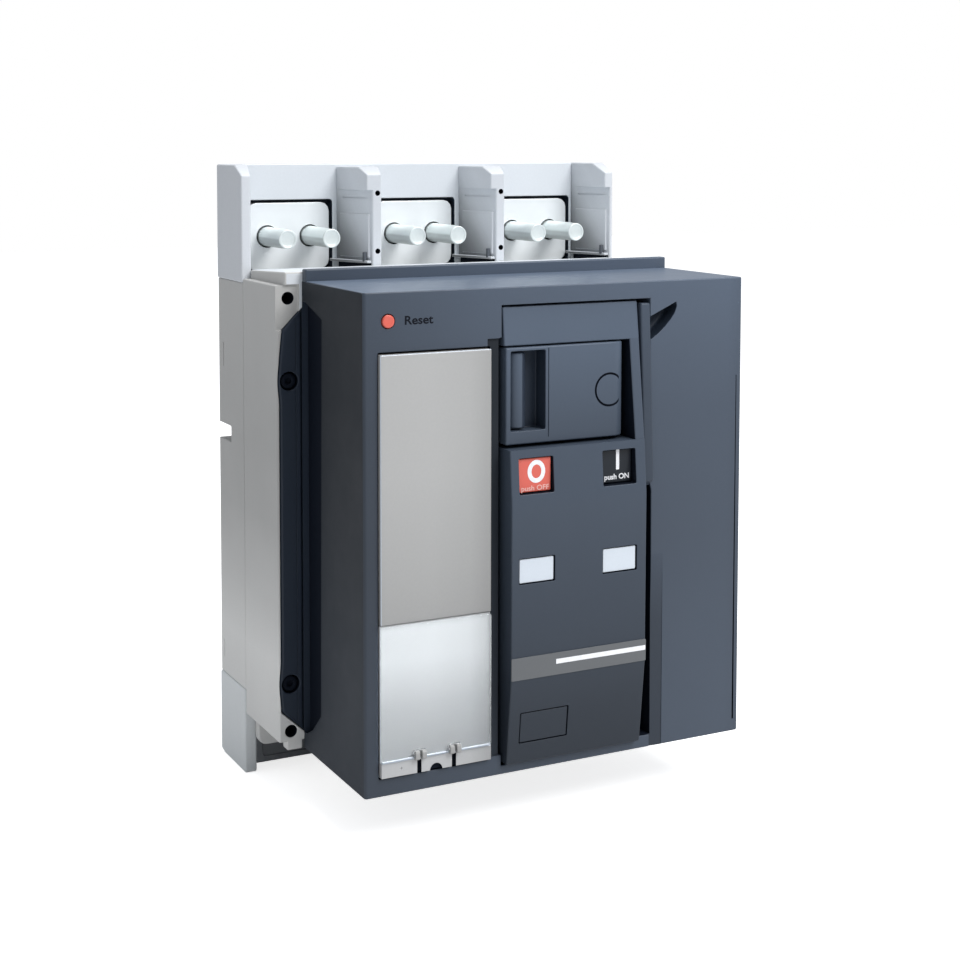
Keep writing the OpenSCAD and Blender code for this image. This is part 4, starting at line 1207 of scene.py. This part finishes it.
class BREAKER_OT_handle(Piece, bpy.types.Operator):
    """Charging handle"""
    bl_idname = "breaker.handle"
    bl_label = "Charging handle"

    def build(self):
        x0, x1, d0, d1, h0, h1 = span("charging_handle")
        r = 7                       # of the rounded end, round the pin
        pin_x, pin_d = x1 - r, d1 - r
        plan = [(x0, d1 - 11), (pin_x, d1 - 11), (pin_x, d1 - 2 * r)]
        plan += circle(pin_x, pin_d, r, 19, -90, 180) + [(x0, d1)]
        handle = soften(prism("h", plan, h0, h1), 0.8)
        grip0, grip1, low, high = x0 + 2.4, x0 + 20.2, h0 + 6, h1 - 1.6
        cut(handle, pocket("d", rect(grip0, grip1, low, high, 0.8), d1, 9, 0.4, 0.6))
        bar_x, bar_d, bar_r = grip0 + 5.4, d1 - 6.4, 4.6
        bar = slab("h", lambda grow: circle(bar_x, bar_d, bar_r + grow, 40), low + 1.1, high - 1.1, 0.6)
        web = block(bar_x - 2.5, bar_x + 2.5, d1 - 9.5, bar_d, low - 0.3, high + 0.3)
        join(handle, bar, web)
        inside, outside, ring_x, ring_h = 6.9, 7.9, 29.9, (h0 + h1) / 2
        ring = turned([(inside, d1 - 0.7), (inside, d1 + 1), (outside, d1 + 1), (outside, d1 - 0.7),
                       (inside, d1 - 0.7)], ring_x, ring_h, 56)
        cut(handle, pocket("d", rect(grip1 + 1.3, grip1 + 1.7, h0 + 2.5, h1 - 0.8, 0.1), d1, 0.5, 0.15, 0.1),
            ring, prism("h", circle(pin_x, pin_d, 2.06, 28), h0 - 1, h1 + 1))
        stand_in(handle, "charging_handle", "drive_plastic", "handle")
        # Painted shade inside the grip recess, round the bar
        patch(handle, "strip_and_shade_plastic",
              lambda x, d, h, n: d < d1 - 0.35 and low - 0.2 < h < high + 0.2
              and grip0 - 0.1 < x < grip1 + 0.1
              and (math.hypot(x - bar_x, d - bar_d) > bar_r + 0.1 or n.x > 0.25))
        # Painted shade: near black in the engraved ring's groove
        patch(handle, "recess_shade_plastic",
              lambda x, d, h, n: d1 - 0.8 < d < d1 - 0.1 and grip1 + 4 < x < 36.5
              and inside - 0.05 < math.hypot(x - ring_x, h - ring_h) < outside + 0.05)


class BREAKER_OT_buttons(Piece, bpy.types.Operator):
    """ON and OFF push-buttons"""
    bl_idname = "breaker.buttons"
    bl_label = "Push-buttons"

    def build(self):
        for body, slot in (("off", "button_red"), ("on", "button_black")):
            node = body + "_button"
            stand_in(box(*span(node), 0.5), node, body + "_plastic", body, "cap")


class BREAKER_OT_plates(Piece, bpy.types.Operator):
    """Flag windows, label band and lock plate"""
    bl_idname = "breaker.plates"
    bl_label = "Windows and plates"

    def build(self):
        for node, name, sunk, thick, slot in (
                ("left_window", "flag_and_highlight_plastic", 0.7, 1.19, "window_white"),
                ("right_window", "flag_and_highlight_plastic", 0.7, 1.19, "window_white"),
                ("lock_plate", "drive_plastic", 0.2, 1.19, "drive_dark"),
                ("label_band", "band_foil", -0.4, 0.38, "label_grey")):
            top = moved(FASCIA_DEPTH, -sunk)
            edge = 0.25 if sunk > 0 else 0.12
            plate = slab("d", front_of(node, 0, 0.5), moved(top, -thick), top, edge, False)
            stand_in(plate, node, name, kind="plate")
        x0, x1, d0, d1, h0, h1 = span("label_band")
        top, middle, half = moved(FASCIA_DEPTH, 0.43), (h0 + h1) / 2 + 1.1, 1.1
        bar = rect(x0 + 22.8, x1 - 0.3, middle - half, middle + half, 0.2)
        stripe = slab("d", bar, moved(top, -0.1), top, 0.03, False)
        finish(stripe, "band_stripe", "ink_white")


class BREAKER_OT_lettering(Piece, bpy.types.Operator):
    """Generic legends: Reset, O, I, push OFF and push ON"""
    bl_idname = "breaker.lettering"
    bl_label = "Lettering"

    LIFT = 0.03                     # mm in front of the face

    def text(self, name, words, height, width, x, d, h, ink, body, slot, bold):
        """A line of letters centred at a place in front of a face at depth d."""
        curve = bpy.data.curves.new(name, "FONT")
        curve.body, curve.align_x, curve.align_y = words, "CENTER", "CENTER"
        curve.size, curve.extrude, curve.offset = height * MM / 0.7, 0.04 * MM, bold * MM
        source = placed(name, curve)
        mesh = bpy.data.meshes.new_from_object(source.evaluated_get(bpy.context.evaluated_depsgraph_get()))
        reach = [v.co.x for v in mesh.vertices]
        stretch = width * MM / (max(reach) - min(reach))
        shift = -(max(reach) + min(reach)) / 2
        mesh.transform(Matrix.Translation(at(x, d + self.LIFT, h)) @ Matrix.Rotation(math.pi / 2, 4, "X")
                       @ Matrix.Diagonal((stretch, 1, 1, 1)) @ Matrix.Translation((shift, 0, 0)))
        bpy.data.objects.remove(source, do_unlink=True)
        bpy.data.curves.remove(curve)
        finish(placed(name, mesh), name, ink, body)

    def build(self):
        r, off, on = span("reset_button"), span("off_button"), span("on_button")
        self.text("reset_legend", "Reset", 3.7, 13.6, r[1] + 11.8, COVER_FRONT, (r[4] + r[5]) / 2 - 0.1,
                  "ink_dark", ROOT, "shadow_dark", 0.1)
        x = (off[0] + off[1]) / 2
        self.text("off_legend", "push OFF", 2.2, 14.2, x + 0.3, off[3], off[4] + 1.7,
                  "ink_pink", "off", "window_white", 0.06)

        def oval(a, b, low, high):
            turns = [math.radians(t) for t in range(0, 360, 6)]
            points = [(x + 0.9 + a * math.cos(t), off[5] - 6.2 + b * math.sin(t)) for t in turns]
            return prism("d", points, low, high)

        sign = cut(oval(4.5, 5.2, off[3] - 0.1, off[3] + 0.06), oval(2.5, 3.1, off[3] - 1, off[3] + 1))
        finish(sign, "off_sign", "ink_white", "off")
        x = (on[0] + on[1]) / 2
        self.text("on_legend", "push ON", 2.4, 13.2, x + 0.5, on[3], on[4] + 2.7,
                  "ink_white", "on", "window_white", 0.09)
        stroke = rect(x + 0.1, x + 1.8, on[5] - 9.4, on[5] - 0.1, 0.25)
        sign = slab("d", stroke, on[3] - 0.1, on[3] + 0.06, 0, False)
        finish(sign, "on_sign", "ink_white", "on")


class BREAKER_OT_stage(Piece, bpy.types.Operator):
    """Floor, lamps, world and camera"""
    bl_idname = "breaker.stage"
    bl_label = "Stage"

    def build(self):
        scene = bpy.context.scene
        bm = bmesh.new()
        bmesh.ops.create_grid(bm, x_segments=2, y_segments=2, size=4.0)
        floor = mesh_object("floor", bm)
        floor.data.transform(Matrix.Translation(at(0, 0, -0.5)))
        if floor.data.polygons[0].normal.z < 0:
            floor.data.flip_normals()
        floor.data.materials.append(white_ground())

        world = scene.world = bpy.data.worlds.new("studio")
        tree = fresh_tree(world)
        lit = shader_node(tree, "Background", {"Color": (0.92, 0.95, 1.0, 1), "Strength": 0.5})
        white = shader_node(tree, "Background", {"Color": (1, 1, 1, 1), "Strength": 1.0})
        shader_node(tree, "OutputWorld", {"Surface": switched(tree, "Is Camera Ray", lit, white)})

        aim = Vector((0, -0.08, 0.02))
        lamps = (("key", (0.6, -1.2, 1.2), 0.9, 21.0), ("top", (0.15, -0.1, 1.6), 1.1, 15.0))
        for name, place, size, power in lamps:
            data = bpy.data.lights.new(name, "AREA")
            data.shape, data.size, data.energy = "DISK", size, power
            lamp = placed(name, data)
            lamp.location = place
            lamp.rotation_euler = (aim - Vector(place)).to_track_quat("-Z", "Y").to_euler()

        lens = bpy.data.cameras.new("camera")
        lens.sensor_width, lens.lens, lens.shift_y, lens.clip_start = 36, 63.53, -0.2373, 0.05
        camera = scene.camera = placed("camera", lens)
        yaw, pitch, roll = math.radians(27.087), math.radians(3.713), math.radians(0.07)
        camera.matrix_world = (Matrix.Translation((-0.3747, -0.8180, 0.3111 + FOOT * MM))
                               @ Matrix.Rotation(-yaw, 4, "Z") @ Matrix.Rotation(math.pi / 2 - pitch, 4, "X")
                               @ Matrix.Rotation(roll, 4, "Z"))
        scene.view_settings.view_transform = "Standard"


def white_ground():
    """A pale floor that shows white but keeps the object's shadow."""
    material = bpy.data.materials.new("ground")
    tree = fresh_tree(material)
    dim = shader_node(tree, "BsdfDiffuse", {"Color": (0.8, 0.8, 0.8, 1)})
    white = shader_node(tree, "Emission", {"Color": (1, 1, 1, 1), "Strength": 0.78})
    both = shader_node(tree, "AddShader", {0: dim.outputs[0], 1: white.outputs[0]})
    shader_node(tree, "OutputMaterial", {"Surface": switched(tree, "Is Camera Ray", dim, both)})
    return material


OPERATORS = (
    BREAKER_OT_finishes, BREAKER_OT_case, BREAKER_OT_upper_terminals,
    BREAKER_OT_lower_terminals, BREAKER_OT_pads, BREAKER_OT_studs, BREAKER_OT_small_screws,
    BREAKER_OT_side_strip, BREAKER_OT_cover, BREAKER_OT_trip_unit, BREAKER_OT_reset,
    BREAKER_OT_drive, BREAKER_OT_handle, BREAKER_OT_buttons, BREAKER_OT_plates,
    BREAKER_OT_lettering, BREAKER_OT_stage,
)


class BREAKER_PT_panel(bpy.types.Panel):
    """Settings and pieces of the breaker"""
    bl_idname = "BREAKER_PT_panel"
    bl_label = "Circuit breaker"
    bl_space_type = "VIEW_3D"
    bl_region_type = "UI"
    bl_category = "Breaker"

    def draw(self, context):
        for group in (context.scene.breaker_sizes, context.scene.breaker_colors):
            box = self.layout.box()
            for name in group.__annotations__:
                box.prop(group, name)
        for operator in OPERATORS:
            self.layout.operator(operator.bl_idname)


CLASSES = (BreakerColors, BreakerSizes) + OPERATORS + (BREAKER_PT_panel,)


def register():
    for cls in CLASSES:
        bpy.utils.register_class(cls)
    bpy.types.Scene.breaker_colors = PointerProperty(type=BreakerColors)
    bpy.types.Scene.breaker_sizes = PointerProperty(type=BreakerSizes)


def unregister():
    del bpy.types.Scene.breaker_sizes
    del bpy.types.Scene.breaker_colors
    for cls in reversed(CLASSES):
        bpy.utils.unregister_class(cls)


def main():
    register()
    for operator in OPERATORS:
        family, name = operator.bl_idname.split(".")
        getattr(getattr(bpy.ops, family), name)()


if __name__ == "__main__":
    main()
